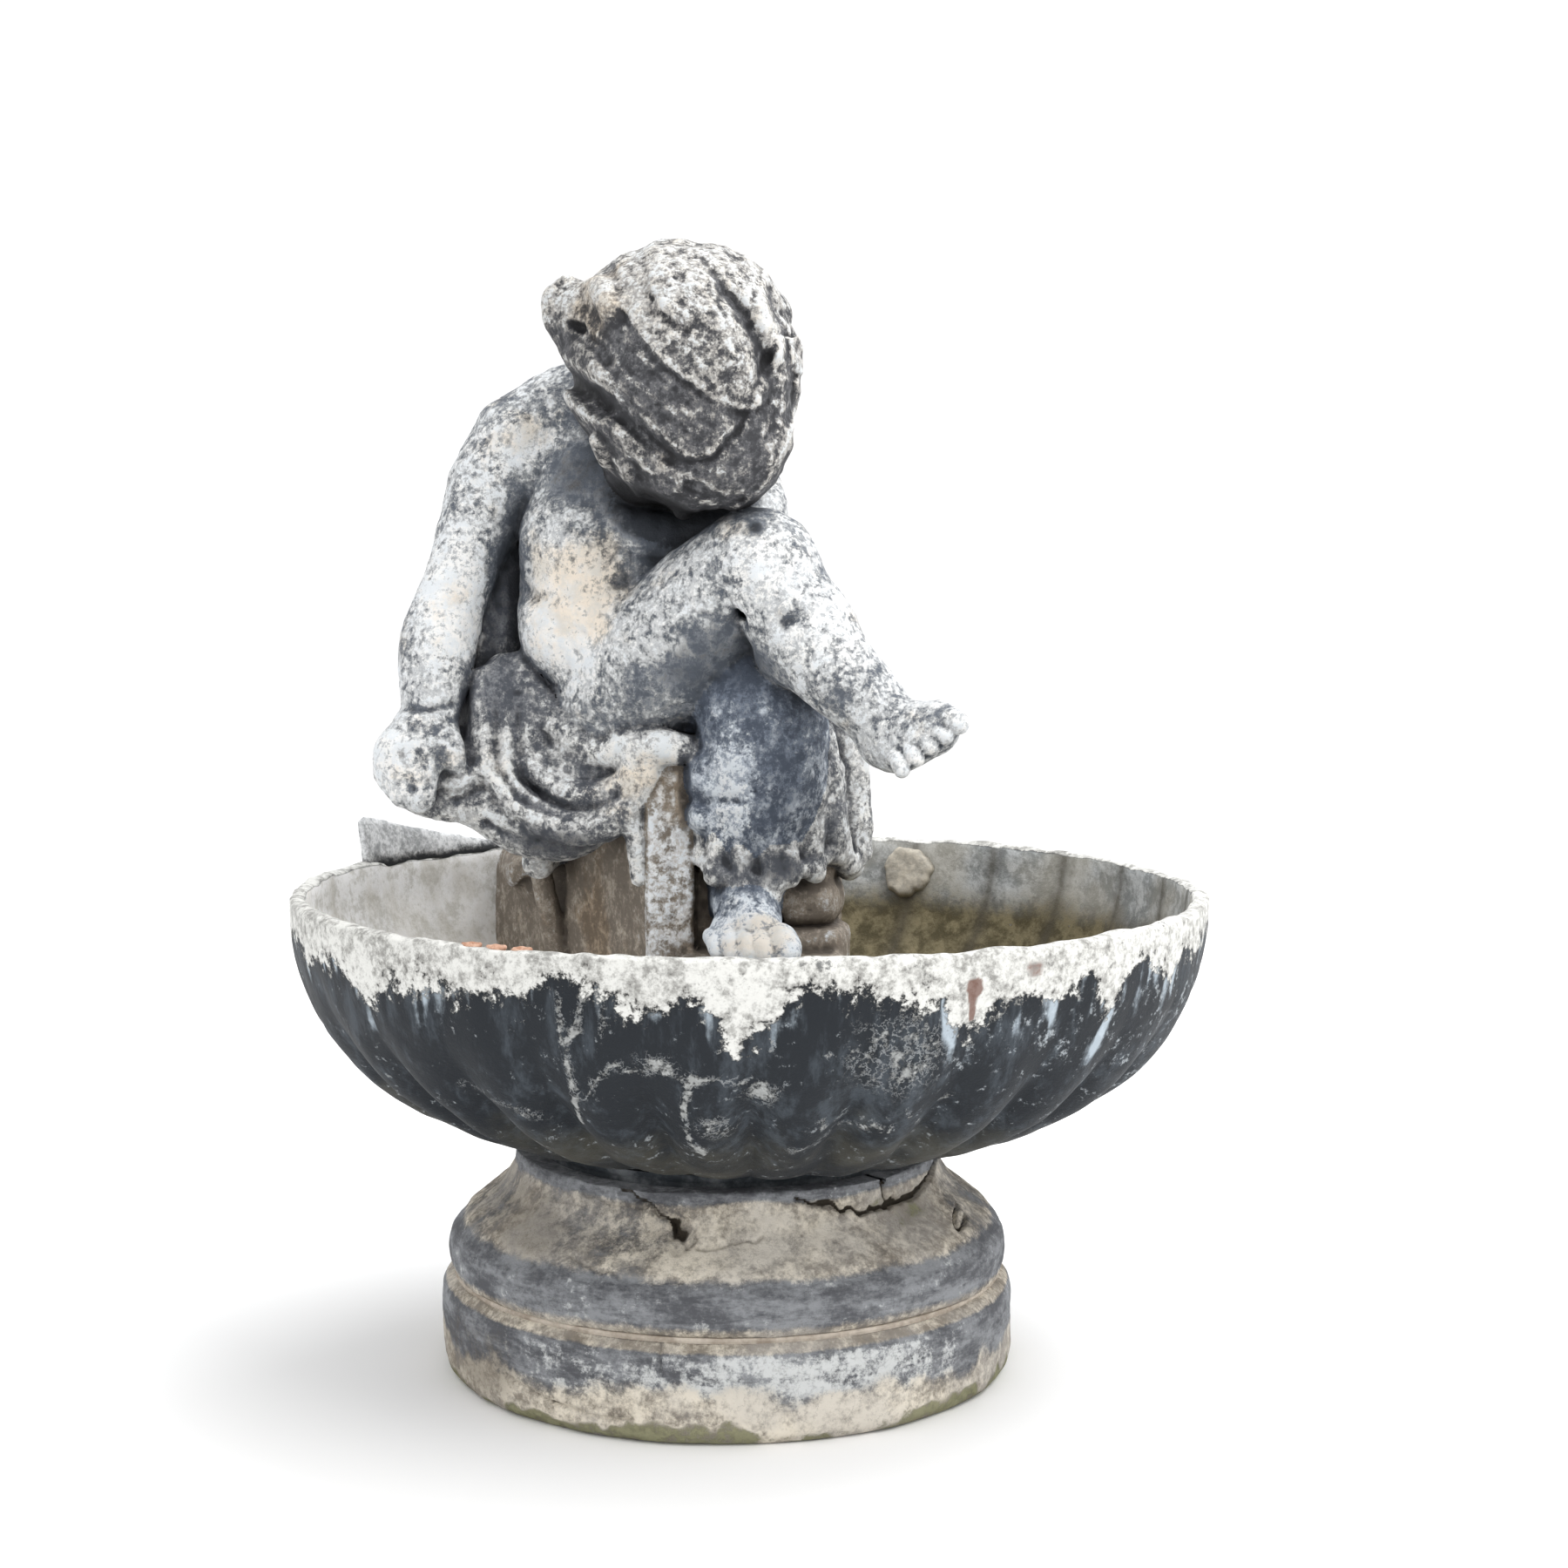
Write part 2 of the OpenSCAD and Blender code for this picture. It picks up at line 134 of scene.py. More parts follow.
def smooth(x, low, high):
    """0 at low, 1 at high, smooth between and flat beyond."""
    t = np.clip((x - low) / (high - low), 0, 1)
    return t * t * (3 - 2 * t)


def path_distance(path, u, v):
    """Distance from each place to a drawn line; path is a list of (u, v)."""
    away = np.full(np.broadcast(u, v).shape, 1e3)
    for (ua, va), (ub, vb) in zip(path, path[1:]):
        du, dv = ub - ua, vb - va
        t = np.clip(((u - ua) * du + (v - va) * dv) / (du * du + dv * dv), 0, 1)
        away = np.minimum(away, np.hypot(u - ua - t * du, v - va - t * dv))
    return away


def stroke(u, v, path, width):
    """1 on a drawn line and 0 beyond its width."""
    return smooth(path_distance(path, u, v), width, 0.35 * width)


def spot(u, v, at, size):
    """1 in the middle of an oval, fading to 0 at its edge."""
    return smooth(np.hypot((u - at[0]) / size[0], (v - at[1]) / size[1]), 1, 0.3)


def smooth_min(a, b, blend):
    """The lesser of two distances, rounded where they meet."""
    h = np.maximum(blend - np.abs(a - b), 0) / blend
    return np.minimum(a, b) - h * h * blend / 4


def spline(balls, parts=4):
    """Balls (x, y, z, radius) strung on one smooth curve through the given ones."""
    b = np.array(balls, float)
    if len(b) < 3:
        return b
    ends = np.vstack([2 * b[0] - b[1], b, 2 * b[-1] - b[-2]])
    out = []
    for p0, p1, p2, p3 in zip(ends, ends[1:], ends[2:], ends[3:]):
        for t in np.arange(parts) / parts:
            out.append(0.5 * (2 * p1 + (p2 - p0) * t + (2 * p0 - 5 * p1 + 4 * p2 - p3) * t ** 2
                              + (3 * p1 - p0 - 3 * p2 + p3) * t ** 3))
    return np.array(out + [b[-1]])


class Clay:
    """A block of space sampled on a shared lattice, holding the distance to a growing solid."""

    def __init__(self, low, high):
        self.start = np.floor(np.array(low) / STEP).astype(int)
        self.size = np.ceil(np.array(high) / STEP).astype(int) - self.start + 1
        self.d = np.full(self.size, FAR, np.float32)

    def window(self, low, high):
        """The part of the block between two corners, and its sample places along each axis."""
        first = np.clip(np.floor(np.array(low) / STEP).astype(int) - self.start, 0, self.size)
        last = np.clip(np.ceil(np.array(high) / STEP).astype(int) - self.start + 1, 0, self.size)
        where = tuple(slice(a, b) for a, b in zip(first, last))
        axes = [((self.start[k] + np.arange(first[k], last[k])) * STEP).astype(np.float32)
                for k in range(3)]
        return where, axes[0][:, None, None], axes[1][None, :, None], axes[2][None, None, :]

    def everywhere(self):
        """The window that is the whole block."""
        return self.window(self.start * STEP, (self.start + self.size - 1) * STEP)

    def string(self, balls):
        """Distance to a string of balls, and the window that holds it."""
        b = np.asarray(balls, float)
        reach = b[:, 3].max() + FAR
        where, *_ = self.window((b[:, :3] - reach).min(0), (b[:, :3] + reach).max(0))
        local = np.full(self.d[where].shape, FAR, np.float32)
        offset = [w.start for w in where]
        for p, q in zip(b[:-1], b[1:]):
            r = max(p[3], q[3]) + FAR
            part, x, y, z = self.window(np.minimum(p, q)[:3] - r, np.maximum(p, q)[:3] + r)
            d = q[:3] - p[:3]
            length2 = max(float(d @ d), 1e-6)
            t = ((x - p[0]) * d[0] + (y - p[1]) * d[1] + (z - p[2]) * d[2]) / length2
            t = np.clip(t, 0, 1)
            away = np.sqrt((x - p[0] - t * d[0]) ** 2 + (y - p[1] - t * d[1]) ** 2
                           + (z - p[2] - t * d[2]) ** 2) - (p[3] + t * (q[3] - p[3]))
            here = tuple(slice(w.start - o, w.stop - o) for w, o in zip(part, offset))
            local[here] = np.minimum(local[here], away)
        return where, local

    def add(self, where, distance, blend):
        """Joins a distance to the solid over a window."""
        self.d[where] = smooth_min(self.d[where], distance, blend)

    def cut(self, where, distance, blend):
        """Takes a distance away from the solid over a window."""
        self.d[where] = -smooth_min(-self.d[where], distance, blend)

    def tube(self, balls, blend=4.0, parts=4):
        """Adds a smooth string of balls."""
        self.add(*self.string(spline(balls, parts)), blend)
        return self

    def groove(self, balls, blend=2.0, parts=4):
        """Cuts a smooth string of balls away."""
        self.cut(*self.string(spline(balls, parts)), blend)
        return self

    def egg_distance(self, centre, radii, turn=None):
        """Distance to an ellipsoid, and the window that holds it."""
        c, r = np.array(centre, float), np.array(radii, float)
        reach = r.max() + FAR
        where, x, y, z = self.window(c - reach, c + reach)
        x, y, z = x - c[0], y - c[1], z - c[2]
        if turn is not None:
            m = turning(turn).T
            x, y, z = (m[k, 0] * x + m[k, 1] * y + m[k, 2] * z for k in range(3))
        k0 = np.sqrt((x / r[0]) ** 2 + (y / r[1]) ** 2 + (z / r[2]) ** 2) + 1e-6
        k1 = np.sqrt((x / r[0] ** 2) ** 2 + (y / r[1] ** 2) ** 2 + (z / r[2] ** 2) ** 2) + 1e-6
        return where, (k0 * (k0 - 1) / k1).astype(np.float32)

    def egg(self, centre, radii, blend=6.0, turn=None):
        """Adds an ellipsoid."""
        self.add(*self.egg_distance(centre, radii, turn), blend)
        return self

    def dent(self, centre, radii, blend=3.0, turn=None):
        """Cuts an ellipsoid away."""
        self.cut(*self.egg_distance(centre, radii, turn), blend)
        return self

    def block_distance(self, outline, low, high, soft):
        """Distance to an upright prism with rounded edges; its convex outline runs anticlockwise."""
        pts = np.array(outline, float)
        corner_low = [*(pts.min(0) - FAR), low - FAR]
        corner_high = [*(pts.max(0) + FAR), high + FAR]
        where, x, y, z = self.window(corner_low, corner_high)
        d = -smooth_min(-(z - high), -(low - z), soft)
        for p, q in zip(pts, np.roll(pts, -1, 0)):
            nx, ny = q[1] - p[1], p[0] - q[0]
            size = math.hypot(nx, ny)
            side = ((x - p[0]) * nx + (y - p[1]) * ny) / size
            d = -smooth_min(-d, -side, soft)
        return where, np.minimum(d, FAR).astype(np.float32)

    def block(self, outline, low, high, soft=5.0, blend=3.0):
        """Adds an upright prism."""
        self.add(*self.block_distance(outline, low, high, soft), blend)
        return self

    def swell(self, height, centre, near, fade):
        """Raises the skin by height(x, z) mm on the side that faces -y, fading out behind near."""
        _, x, y, z = self.everywhere()
        raised = height(x[:, 0, :] - centre[0], z[0, :, :] - centre[2])
        self.d -= (raised[:, None, :] * smooth(y, near + fade, near)).astype(np.float32)

    def join(self, other, blend):
        """Adds another block's solid."""
        offset = other.start - self.start
        first = np.maximum(offset, 0)
        last = np.minimum(offset + other.size, self.size)
        mine = tuple(slice(a, b) for a, b in zip(first, last))
        theirs = tuple(slice(a, b) for a, b in zip(first - offset, last - offset))
        self.d[mine] = smooth_min(self.d[mine], other.d[theirs], blend)

    def at(self, points):
        """Distance at each point, FAR outside the block."""
        q = np.asarray(points) / STEP - self.start
        base = np.floor(q).astype(int)
        inside = np.all((base >= 0) & (base < self.size - 1), axis=1)
        out = np.full(len(q), FAR, np.float32)
        b, f = base[inside], (q - base)[inside]
        total = 0
        for step in CELL_CORNERS:
            i = b + step
            weight = np.prod(np.where(step == 1, f, 1 - f), axis=1)
            total = total + weight * self.d[i[:, 0], i[:, 1], i[:, 2]]
        out[inside] = total
        return out

    def surface(self):
        """Corner points and quads of the solid's surface."""
        grid = openvdb.FloatGrid()
        grid.background = FAR
        grid.copyFromArray(np.ascontiguousarray(self.d, dtype=np.float32))
        points, _, quads = grid.convertToPolygons(isovalue=0.0, adaptivity=0.0)
        return (points + self.start) * STEP, quads.astype(np.int64)


def turning(degrees):
    """Rotation matrix for turns about x, then y, then z."""
    a, b, c = np.radians(degrees)
    rx = np.array([[1, 0, 0], [0, math.cos(a), -math.sin(a)], [0, math.sin(a), math.cos(a)]])
    ry = np.array([[math.cos(b), 0, math.sin(b)], [0, 1, 0], [-math.sin(b), 0, math.cos(b)]])
    rz = np.array([[math.cos(c), -math.sin(c), 0], [math.sin(c), math.cos(c), 0], [0, 0, 1]])
    return rz @ ry @ rx


# ---- the figure ---------------------------------------------------------------------
#
# Every tube and groove is a string of balls (x, y, z, radius), every egg and dent a centre and its radii,
# in the figure's own millimetres. The number that follows is how softly it runs into what is there.

def torso():
    """The bent body: belly, chest, shoulders and hips, with the creases of the flank and back."""
    c = Clay((-150, -40, 235), (50, 115, 460))
    c.tube([(-30, 34, 288, 34), (-44, 24, 315, 39), (-52, 21, 345, 39), (-52, 28, 375, 37),
            (-52, 38, 400, 32), (-42, 34, 422, 24)], 6)
    c.egg((-54, 7, 324), (37, 27, 32), 8)
    c.egg((-60, 8, 362), (28, 21, 21), 8)
    c.tube([(-88, 36, 399, 24), (-66, 42, 411, 28), (-36, 44, 411, 27), (-6, 42, 403, 23)], 8)
    c.egg((-50, 50, 392), (44, 29, 42), 10)
    c.egg((-52, 58, 284), (31, 29, 31), 8)
    c.egg((-6, 58, 284), (29, 27, 30), 8)
    c.groove([(-50, 84, 405, 2.5), (-48, 79, 370, 3), (-42, 76, 330, 3), (-30, 88, 292, 3.5)], 6)
    c.groove([(-92, 8, 340, 1.2), (-76, -16, 338, 1.6), (-58, -22, 341, 1.6), (-44, -18, 345, 1.2)], 7)
    c.groove([(-30, -18, 345, 3), (-42, -24, 328, 2.5), (-56, -26, 314, 2), (-70, -20, 302, 1.5)], 5)
    c.groove([(-98, 14, 372, 2), (-84, -2, 384, 3), (-66, -14, 386, 3)], 6)
    return c


HEAD_CENTRE = np.array([-19.0, -15.0, 431.0])
HEAD_RADII = np.array([49.0, 55.0, 56.0])


def on_head(path, lift, radius):
    """Balls on the front of the head: path is x and z from its centre, as seen from the front."""
    rx, ry, rz = HEAD_RADII + lift
    out = []
    for x, z in path:
        pull = min(1.0, 0.985 / max(math.hypot(x / rx, z / rz), 1e-6))
        u, v = x * pull, z * pull
        depth = math.sqrt(max(0.0, 1 - (u / rx) ** 2 - (v / rz) ** 2))
        out.append((*(HEAD_CENTRE + (u, -depth * ry, v)), radius))
    return out


# Edges of the hair's overlapping masses, as x and z in mm from the head's centre.
CROWN_EDGE = [(-62, 20), (-50, 25), (-38, 28), (-28, 28), (-22, 23), (-17, 15), (-12, 8), (-5, 1), (3, -5),
              (10, -9), (17, -13), (25, -16.5), (33, -13), (40, -3)]
UPPER_EDGE = [(-15.5, 66), (-14, 46), (-12.5, 37), (-11, 30.5), (-8.5, 25.5), (-4, 21.8), (3, 20), (12, 19),
              (21, 15), (28, 5)]
MIDDLE_EDGE = [(-56, 9), (-48, 3), (-41, -1.5), (-34, -5), (-28, -11), (-21, -17), (-13, -23.5), (-7, -29),
               (0, -34), (7, -36), (13, -34), (19, -30), (23, -24), (26, -16), (29, -8), (33, 2), (38, 16)]
STRAND_EDGE = [(-26, -6), (-21, -9), (-13, -11.5), (-5, -15), (3, -20.5), (10, -27)]
LOW_EDGE = [(-52, -10), (-46, -15), (-40, -19), (-33, -23.5), (-27, -29), (-22, -33), (-16, -40),
            (-10, -44)]
FRINGE_EDGE = [(-54, -2), (-49, -14), (-44, -21), (-38, -24.5), (-34, -31), (-28, -38), (-22, -45.5),
               (-11, -49), (-3, -54.5), (6, -57), (16, -54), (22, -57), (30, -54), (38, -47), (46, -32),
               (52, -14)]
SIDE_CHANNEL = [(8, 48), (16, 37), (24, 26.5), (30, 17), (34, 8), (36, -2), (34.5, -13)]
OUTER_CHANNEL = [(37, 36), (40, 24), (44, 11), (46, -4), (43.5, -19)]
# Short creases: path, width and depth.
HAIR_CREASES = [([(2, 17), (0, 13), (-3, 9)], 1.4, 0.9), ([(16, 30), (22, 20), (24, 10)], 1.4, 0.5),
                ([(-47, -1), (-40, -6), (-32, -13)], 3.2, 3.0), ([(-30, 44), (-28, 35)], 1.6, 0.7),
                ([(4, -46), (14, -50), (24, -50)], 1.6, 1.6), ([(-2, 44), (2, 36), (2, 30)], 1.5, 0.5),
                ([(-22, -36), (-14, -43)], 1.5, 1.5), ([(-46, 20), (-36, 13), (-30, 6)], 2.0, 1.6),
                ([(44, 26), (50, 22)], 1.8, 1.8), ([(42, 2), (52, -2)], 1.5, 1.5)]


def above(path, x, z):
    """Distance to a path that runs from left to right, negative below it."""
    away = path_distance(path, x, z)
    px, pz = np.array(path, float).T
    return np.where(z > np.interp(x, px, pz), away, -away)


def lip(d, height, back, under):
    """A mass that ends in a thick edge: it rises over d = 0, sinks back behind it, and is hollow below."""
    rise = smooth(d, -0.8, 4.0) * (1 - 0.75 * smooth(d, 4.0, back))
    return height * rise - under * np.exp(-((d + 3.0) / 2.5) ** 2)


def combed(across, along, width, seed):
    """Fine strands: long noise along one coordinate, short across the other."""
    place = np.stack([across, along * 0.12, np.full_like(across, seed)], -1)
    return grit(place, width) + 0.5 * grit(place + 40, width * 0.55)


def wavering(points):
    """The first two coordinates of points, shaken a little so that the edges of the hair are uneven."""
    shake = 1.7 * grit(points, 10) + 1.0 * grit(points + 30, 4.5)
    return points[..., 0] + shake, points[..., 1] - shake


def right_of_channel(u, v, soft):
    """1 to the right of the long channel down the side of the hair, 0 to its left."""
    x, z = np.array(SIDE_CHANNEL, float).T
    return smooth(u - np.interp(-v, -z, x), 0, soft)


def hair_masses(u, v, on_crown, crown, upper, middle, strand, low, fringe, ragged):
    """The crown's dome, the step on it, and the masses that lap over one another below it."""
    out = 3.8 * on_crown * (0.35 + 0.65 * smooth(u, -34, -22)) + 1.6 * smooth(crown, 3, 18)
    out *= smooth(v, 64, 18) * (1 - 0.8 * smooth(u, 31, 45))
    out += 1.5 * smooth(upper, -1, 2.5) * smooth(u, 18, 0)
    out -= 0.6 * np.exp(-((upper + 2) / 2.5) ** 2) * smooth(u, 12, -2)
    fold = lip(middle, 4.2, 24, 3.4 * smooth(u, 24, 2) + 0.6)
    out += ragged * fold * (1 - on_crown) * (1 - smooth(u, 14, 30))
    out += lip(strand, 1.5, 10, 0.7) * smooth(u, -27, -21) * smooth(u, 11, 3) * (1 - on_crown)
    below = smooth(middle, 0, -3)
    out += lip(low, 1.7, 9, 0.9) * smooth(u, -10, -16) * below
    return out + below * 2.2 * smooth(fringe, -0.5, 3) - 2.6 * smooth(fringe, -0.4, -4)


def hair_hollows(u, v, right):
    """The channels and the short creases between and across the masses."""
    groove, outer = above(SIDE_CHANNEL, u, v), above(OUTER_CHANNEL, u, v)
    out = -3.6 * np.exp(-(groove / 3.8) ** 2) * smooth(v, -14, 4) * smooth(v, 44, 16)
    out -= 0.8 * np.exp(-(groove / 1.8) ** 2) * smooth(v, 18, 28) * smooth(v, 52, 40)
    out += 1.6 * right - 1.6 * np.exp(-(outer / 1.8) ** 2) * smooth(v, -24, -12) * right
    out += smooth(u, 26, 34) * 0.9 * combed(u - 0.25 * v, v, 3.6, 81.0)
    for path, width, deep in HAIR_CREASES:
        out -= deep * stroke(u, v, path, 2.2 * width)
    return out


def hair_relief(x, z):
    """How far the hair stands above the skull over the front of the head."""
    x, z = np.broadcast_arrays(x, z)
    flat = np.stack([x, z, 0 * x], -1)
    u, v = wavering(flat)
    crown, upper, middle, strand, low, fringe = (above(path, u, v) for path in (
        CROWN_EDGE, UPPER_EDGE, MIDDLE_EDGE, STRAND_EDGE, LOW_EDGE, FRINGE_EDGE))
    on_crown = smooth(crown, -0.5, 3.0)
    right = right_of_channel(u, v, 6) * smooth(v, -22, -10)
    ragged = 0.8 + 0.35 * grit(flat + 55, 12)
    out = hair_masses(u, v, on_crown, crown, upper, middle, strand, low, fringe, ragged)
    out += hair_hollows(u, v, right)
    # lumpy crown and side, combed strands on the smooth planes
    lumpy = np.clip(on_crown + right, 0, 1)
    out += lumpy * (0.85 * grit.layers(flat + 11, 8, 2) + 0.4 * combed(u + 0.8 * v, v, 4.0, 35.0))
    out += (1 - lumpy) * (0.45 * combed(middle, u, 3.4, 12.0) + 0.35 * combed(middle, u, 1.8, 60.0))
    return out + 0.35 * grit(flat, 4)


def head():
    """The bowed head: skull, face, hair and the curls at the temple."""
    c = Clay((-95, -95, 350), (75, 65, 505))
    at = HEAD_CENTRE
    c.egg(at, HEAD_RADII - (2, 3, 3), 6)
    c.egg(at + (-2, 10, 14), (45, 44, 40), 10)
    c.egg(at + (10, -21, -30.5), (36, 27, 25), 8)
    c.tube([(-40, 34, 420, 24), (-28, 14, 428, 26)], 8)
    face(c, at)
    c.swell(hair_relief, at, at[1] - 8, 34)
    # the lump, the small curl and the hollow at the left temple
    c.egg(at + (-42, 0, 24), (12, 16, 15), 4)
    c.tube([(*(at + (-48, 2, 36)), 6.5), (*(at + (-53, 0, 31)), 6.2), (*(at + (-53, -1, 23)), 5.0),
            (*(at + (-48, -3, 15)), 4.0)], 4)
    c.tube(on_head([(-47, 27), (-44, 33), (-38, 36), (-31, 33), (-27, 26)], -0.5, 6.0), 3.5)
    c.dent(at + (-45, -22, 20.5), (7, 9, 3), 1.5, (0, 20, 0))
    # scallops where the fringe meets the face
    for x, z in ((-31, -36), (-17, -47), (1, -55), (20, -55), (34, -50)):
        c.tube(on_head([(x - 3, z + 9), (x, z + 1)], 0, 3.6), 2.5)
    back_curls(c, at)
    return c


GOLDEN_ANGLE = math.radians(137.5)


def back_curls(c, at):
    """Comma-shaped curls set by the golden angle over the top and back of the head."""
    count = 26
    for k in range(count):
        height = 1 - 1.45 * (k + 0.5) / count
        angle = k * GOLDEN_ANGLE
        ring = math.sqrt(1 - height * height)
        n = np.array([ring * math.cos(angle), ring * math.sin(angle), height])
        if n[1] < 0.22 or n[2] > 0.78 or (n[2] < -0.25 and n[1] > 0.3):
            continue
        side = np.cross(n, (0, 0, 1.0))
        side = side / np.linalg.norm(side)
        up = np.cross(side, n)
        lift = 0.5 - 4.5 * smooth(n[0], 0.5, 0.75)
        curl = []
        for t in np.linspace(0, 1, 6):
            a, r = 4.2 * t + k, 11 * (1 - 0.70 * t)
            p = at + (HEAD_RADII + lift + 1.5 * t) * n + r * (math.cos(a) * side + math.sin(a) * up)
            curl.append((*p, 6.4 - 1.8 * t))
        c.tube(curl, 3.5, 3)
        c.egg(at + (HEAD_RADII - 5) * n, (10, 10, 10), 6)


def face(c, at):
    """A calm sleeping child's face, on the side of the head that looks down."""
    tilt = math.radians(68)
    across = np.array([1.0, 0, 0])
    ahead = np.array([0, -math.cos(tilt), -math.sin(tilt)])
    up = np.array([0, -math.sin(tilt), math.cos(tilt)])

    def place(x, f, u, r):
        return (*(at + x * across + f * ahead + u * up), r)

    c.tube([place(0, 30, -6, 24), place(0, 28, -30, 19)], 8)
    for side in (-1, 1):
        c.tube([place(side * 17, 34, -20, 16), place(side * 12, 34, -32, 13)], 8)
        c.tube([place(side * 10, 49, 6, 4), place(side * 18, 47, 8, 4), place(side * 26, 42, 5, 3.5)], 5)
        c.dent(place(side * 17, 53, -2, 0)[:3], (8, 5, 5), 5)
        c.tube([place(side * 10, 47, -2, 3.4), place(side * 16.5, 48.5, -4, 4),
                place(side * 23, 44, -3, 3)], 2)
    c.tube([place(0, 50, 2, 3.4), place(0, 54, -8, 4), place(0, 57, -13, 5)], 3)
    for side in (-1, 1):
        c.tube([place(side * 4.5, 53, -14, 3.2), place(side * 3, 54, -13, 3)], 2)
        c.tube([place(0, 51, -22, 2.6), place(side * 8, 47, -23, 1.8)], 1.5)
    c.tube([place(-6, 47.5, -27, 2.4), place(0, 49.5, -27.5, 3), place(6, 47.5, -27, 2.4)], 1.5)
    c.egg(place(0, 43, -36, 0)[:3], (10, 8, 8), 5)


def right_arm():
    """The arm that hangs at the left of the view, and its fist on the cloth."""
    c = Clay((-175, -50, 230), (-60, 80, 450))
    c.tube([(-89, 35, 401, 24.5), (-101, 31, 386, 21), (-109, 26, 368, 17.5), (-116, 20, 349, 15.5),
            (-121.5, 14, 333, 15.5), (-126, 8, 316, 17.2), (-127.5, 2, 300, 14.5), (-128, -2, 290, 12)], 4)
    c.tube([(-129, -4, 285, 12.5), (-132, -8, 276, 15), (-137, -10, 268, 14)], 3)
    c.egg((-141, -12, 270), (12, 11, 12), 4)
    fingers = [((-143, -12, 268), (-145.5, -14, 259), 6.2), ((-138, -17, 266), (-139, -19, 254), 6.8),
               ((-130, -17, 264), (-131.5, -20, 252), 6.8), ((-122, -10, 278), (-117, -15, 268), 6)]
    for start, end, r in fingers:
        c.tube([(*start, r), (*((np.array(start) + end) / 2 + (0, -1, 1)), r), (*end, r * 0.9)], 4)
    c.groove([(-142, -10, 292, 0.6), (-130, -16, 290, 0.8), (-118, -10, 292, 0.6)], 4)
    c.groove([(-100, 2, 345, 2.6), (-107, 0, 338, 2.4), (-114, -2, 335, 1.6)], 4)
    for x in (-144, -137, -129.5):
        c.groove([(x - 2, -24, 272, 0.5), (x + 1, -27, 264, 0.7), (x + 3, -26, 257, 0.5)], 3.5)
    return c


def left_arm():
    """The arm folded under the head."""
    c = Clay((-70, -55, 330), (60, 80, 450))
    c.tube([(-6, 42, 402, 22), (5, 30, 388, 16.5), (12, 12, 376, 14.5), (9, 2, 370, 13), (0, -2, 366, 12),
            (-14, -4, 363, 11), (-24, -5, 363, 10)], 4)
    c.tube([(-28, -6, 364, 10), (-38, -7, 365, 10.5), (-46, -6, 366, 8.5)], 3)
    for k in range(4):
        c.tube([(-44, -12 + 5 * k, 371 - 3 * k, 5), (-54, -9 + 5 * k, 368 - 3 * k, 4.6),
                (-60, -5 + 5 * k, 361 - 3 * k, 4)], 2)
    c.groove([(2, -18, 374, 1.5), (14, -10, 361, 1.5)], 3)
    return c


def right_leg():
    """The leg crossed over the other knee, with its foot and toes."""
    c = Clay((-105, -115, 240), (125, 60, 400))
    c.tube([(-44, 4, 296, 31), (-26, -10, 314, 31), (-6, -22, 336, 27.5), (9, -32, 350, 24.5),
            (14, -37, 352, 23), (21, -42, 342, 21.5), (32, -48, 326, 20.5), (45, -54, 310, 18),
            (57, -59, 298, 15.5), (65, -63, 290, 13.5)], 5)
    c.egg((19, -40, 352), (18, 18, 18), 8)
    c.egg((32, -41, 323), (18, 18, 22), 8, (0, 35, 0))
    c.tube([(66, -62, 288, 13), (72, -67, 285, 13), (80, -73, 287, 11.5), (86, -77, 290, 9.5)], 4)
    c.tube([(64, -64, 280, 9.5), (70, -72, 278, 9.5), (78, -78, 282, 9), (85, -80, 286, 8.5)], 4)
    for k, r in enumerate((3.7, 3.8, 3.9, 4.2, 5.2)):
        root = np.array([68 + 5.0 * k, -78, 277 + 3.3 * k])
        tip = np.array([71.5 + 5.5 * k, -87, 271.5 + 4.9 * k])
        c.tube([(*root, r), (*((root + tip) / 2 + (0, -1.5, 1.2)), r), (*tip, r * 0.92)], 1.0)
    c.groove([(-2, -50, 322, 2), (6, -52, 330, 2.6), (8, -46, 334, 3), (14, -30, 330, 3)], 4)
    c.groove([(54, -76, 284, 1.5), (61, -78, 292, 1.8), (70, -78, 299, 1.5), (76, -72, 302, 1.2)], 3)
    c.groove([(24, -66, 330, 1.2), (36, -70, 338, 1.2)], 6)
    return c


def left_leg():
    """The leg that stands on the rock, with its foot and toes."""
    c = Clay((-60, -95, 175), (65, 75, 345))
    c.tube([(-8, 24, 288, 33), (4, 2, 294, 31), (13, -14, 293, 29.5), (15, -20, 280, 28.5),
            (14.5, -21, 262, 27.5), (12.5, -20, 246, 25.5), (10, -19, 231, 21.5), (9, -18, 216, 16.5),
            (8, -17, 207, 14.5)], 5)
    c.egg((-7, -27, 262), (11, 11, 12), 4)
    c.egg((-9, -29, 246), (8.5, 9, 8), 3)
    c.groove([(-18, -34, 254, 1.4), (-8, -40, 253, 1.8), (4, -46, 254, 1.2)], 3)
    c.tube([(8, -18, 207, 15), (8, -31, 208, 14.5), (10, -43, 204, 13.5), (13, -53, 198.5, 11)], 4)
    c.tube([(1, -48, 199, 8.5), (2, -58, 195, 7.5)], 3)
    for x, y, r in ((-6, -54, 4.4), (0.5, -59, 4.7), (7, -62, 5.0), (13.5, -63, 5.4), (22, -61, 7.6)):
        c.tube([(x, y + 2, 197, r), (x + 1.5, y - 5, 195.5, r), (x + 2.5, y - 9, 192.5, r * 0.85)], 1.0)
    c.dent((10, -38, 216), (2.4, 3, 3), 1.5)
    return c


# ---- cloth ----------------------------------------------------------------------------

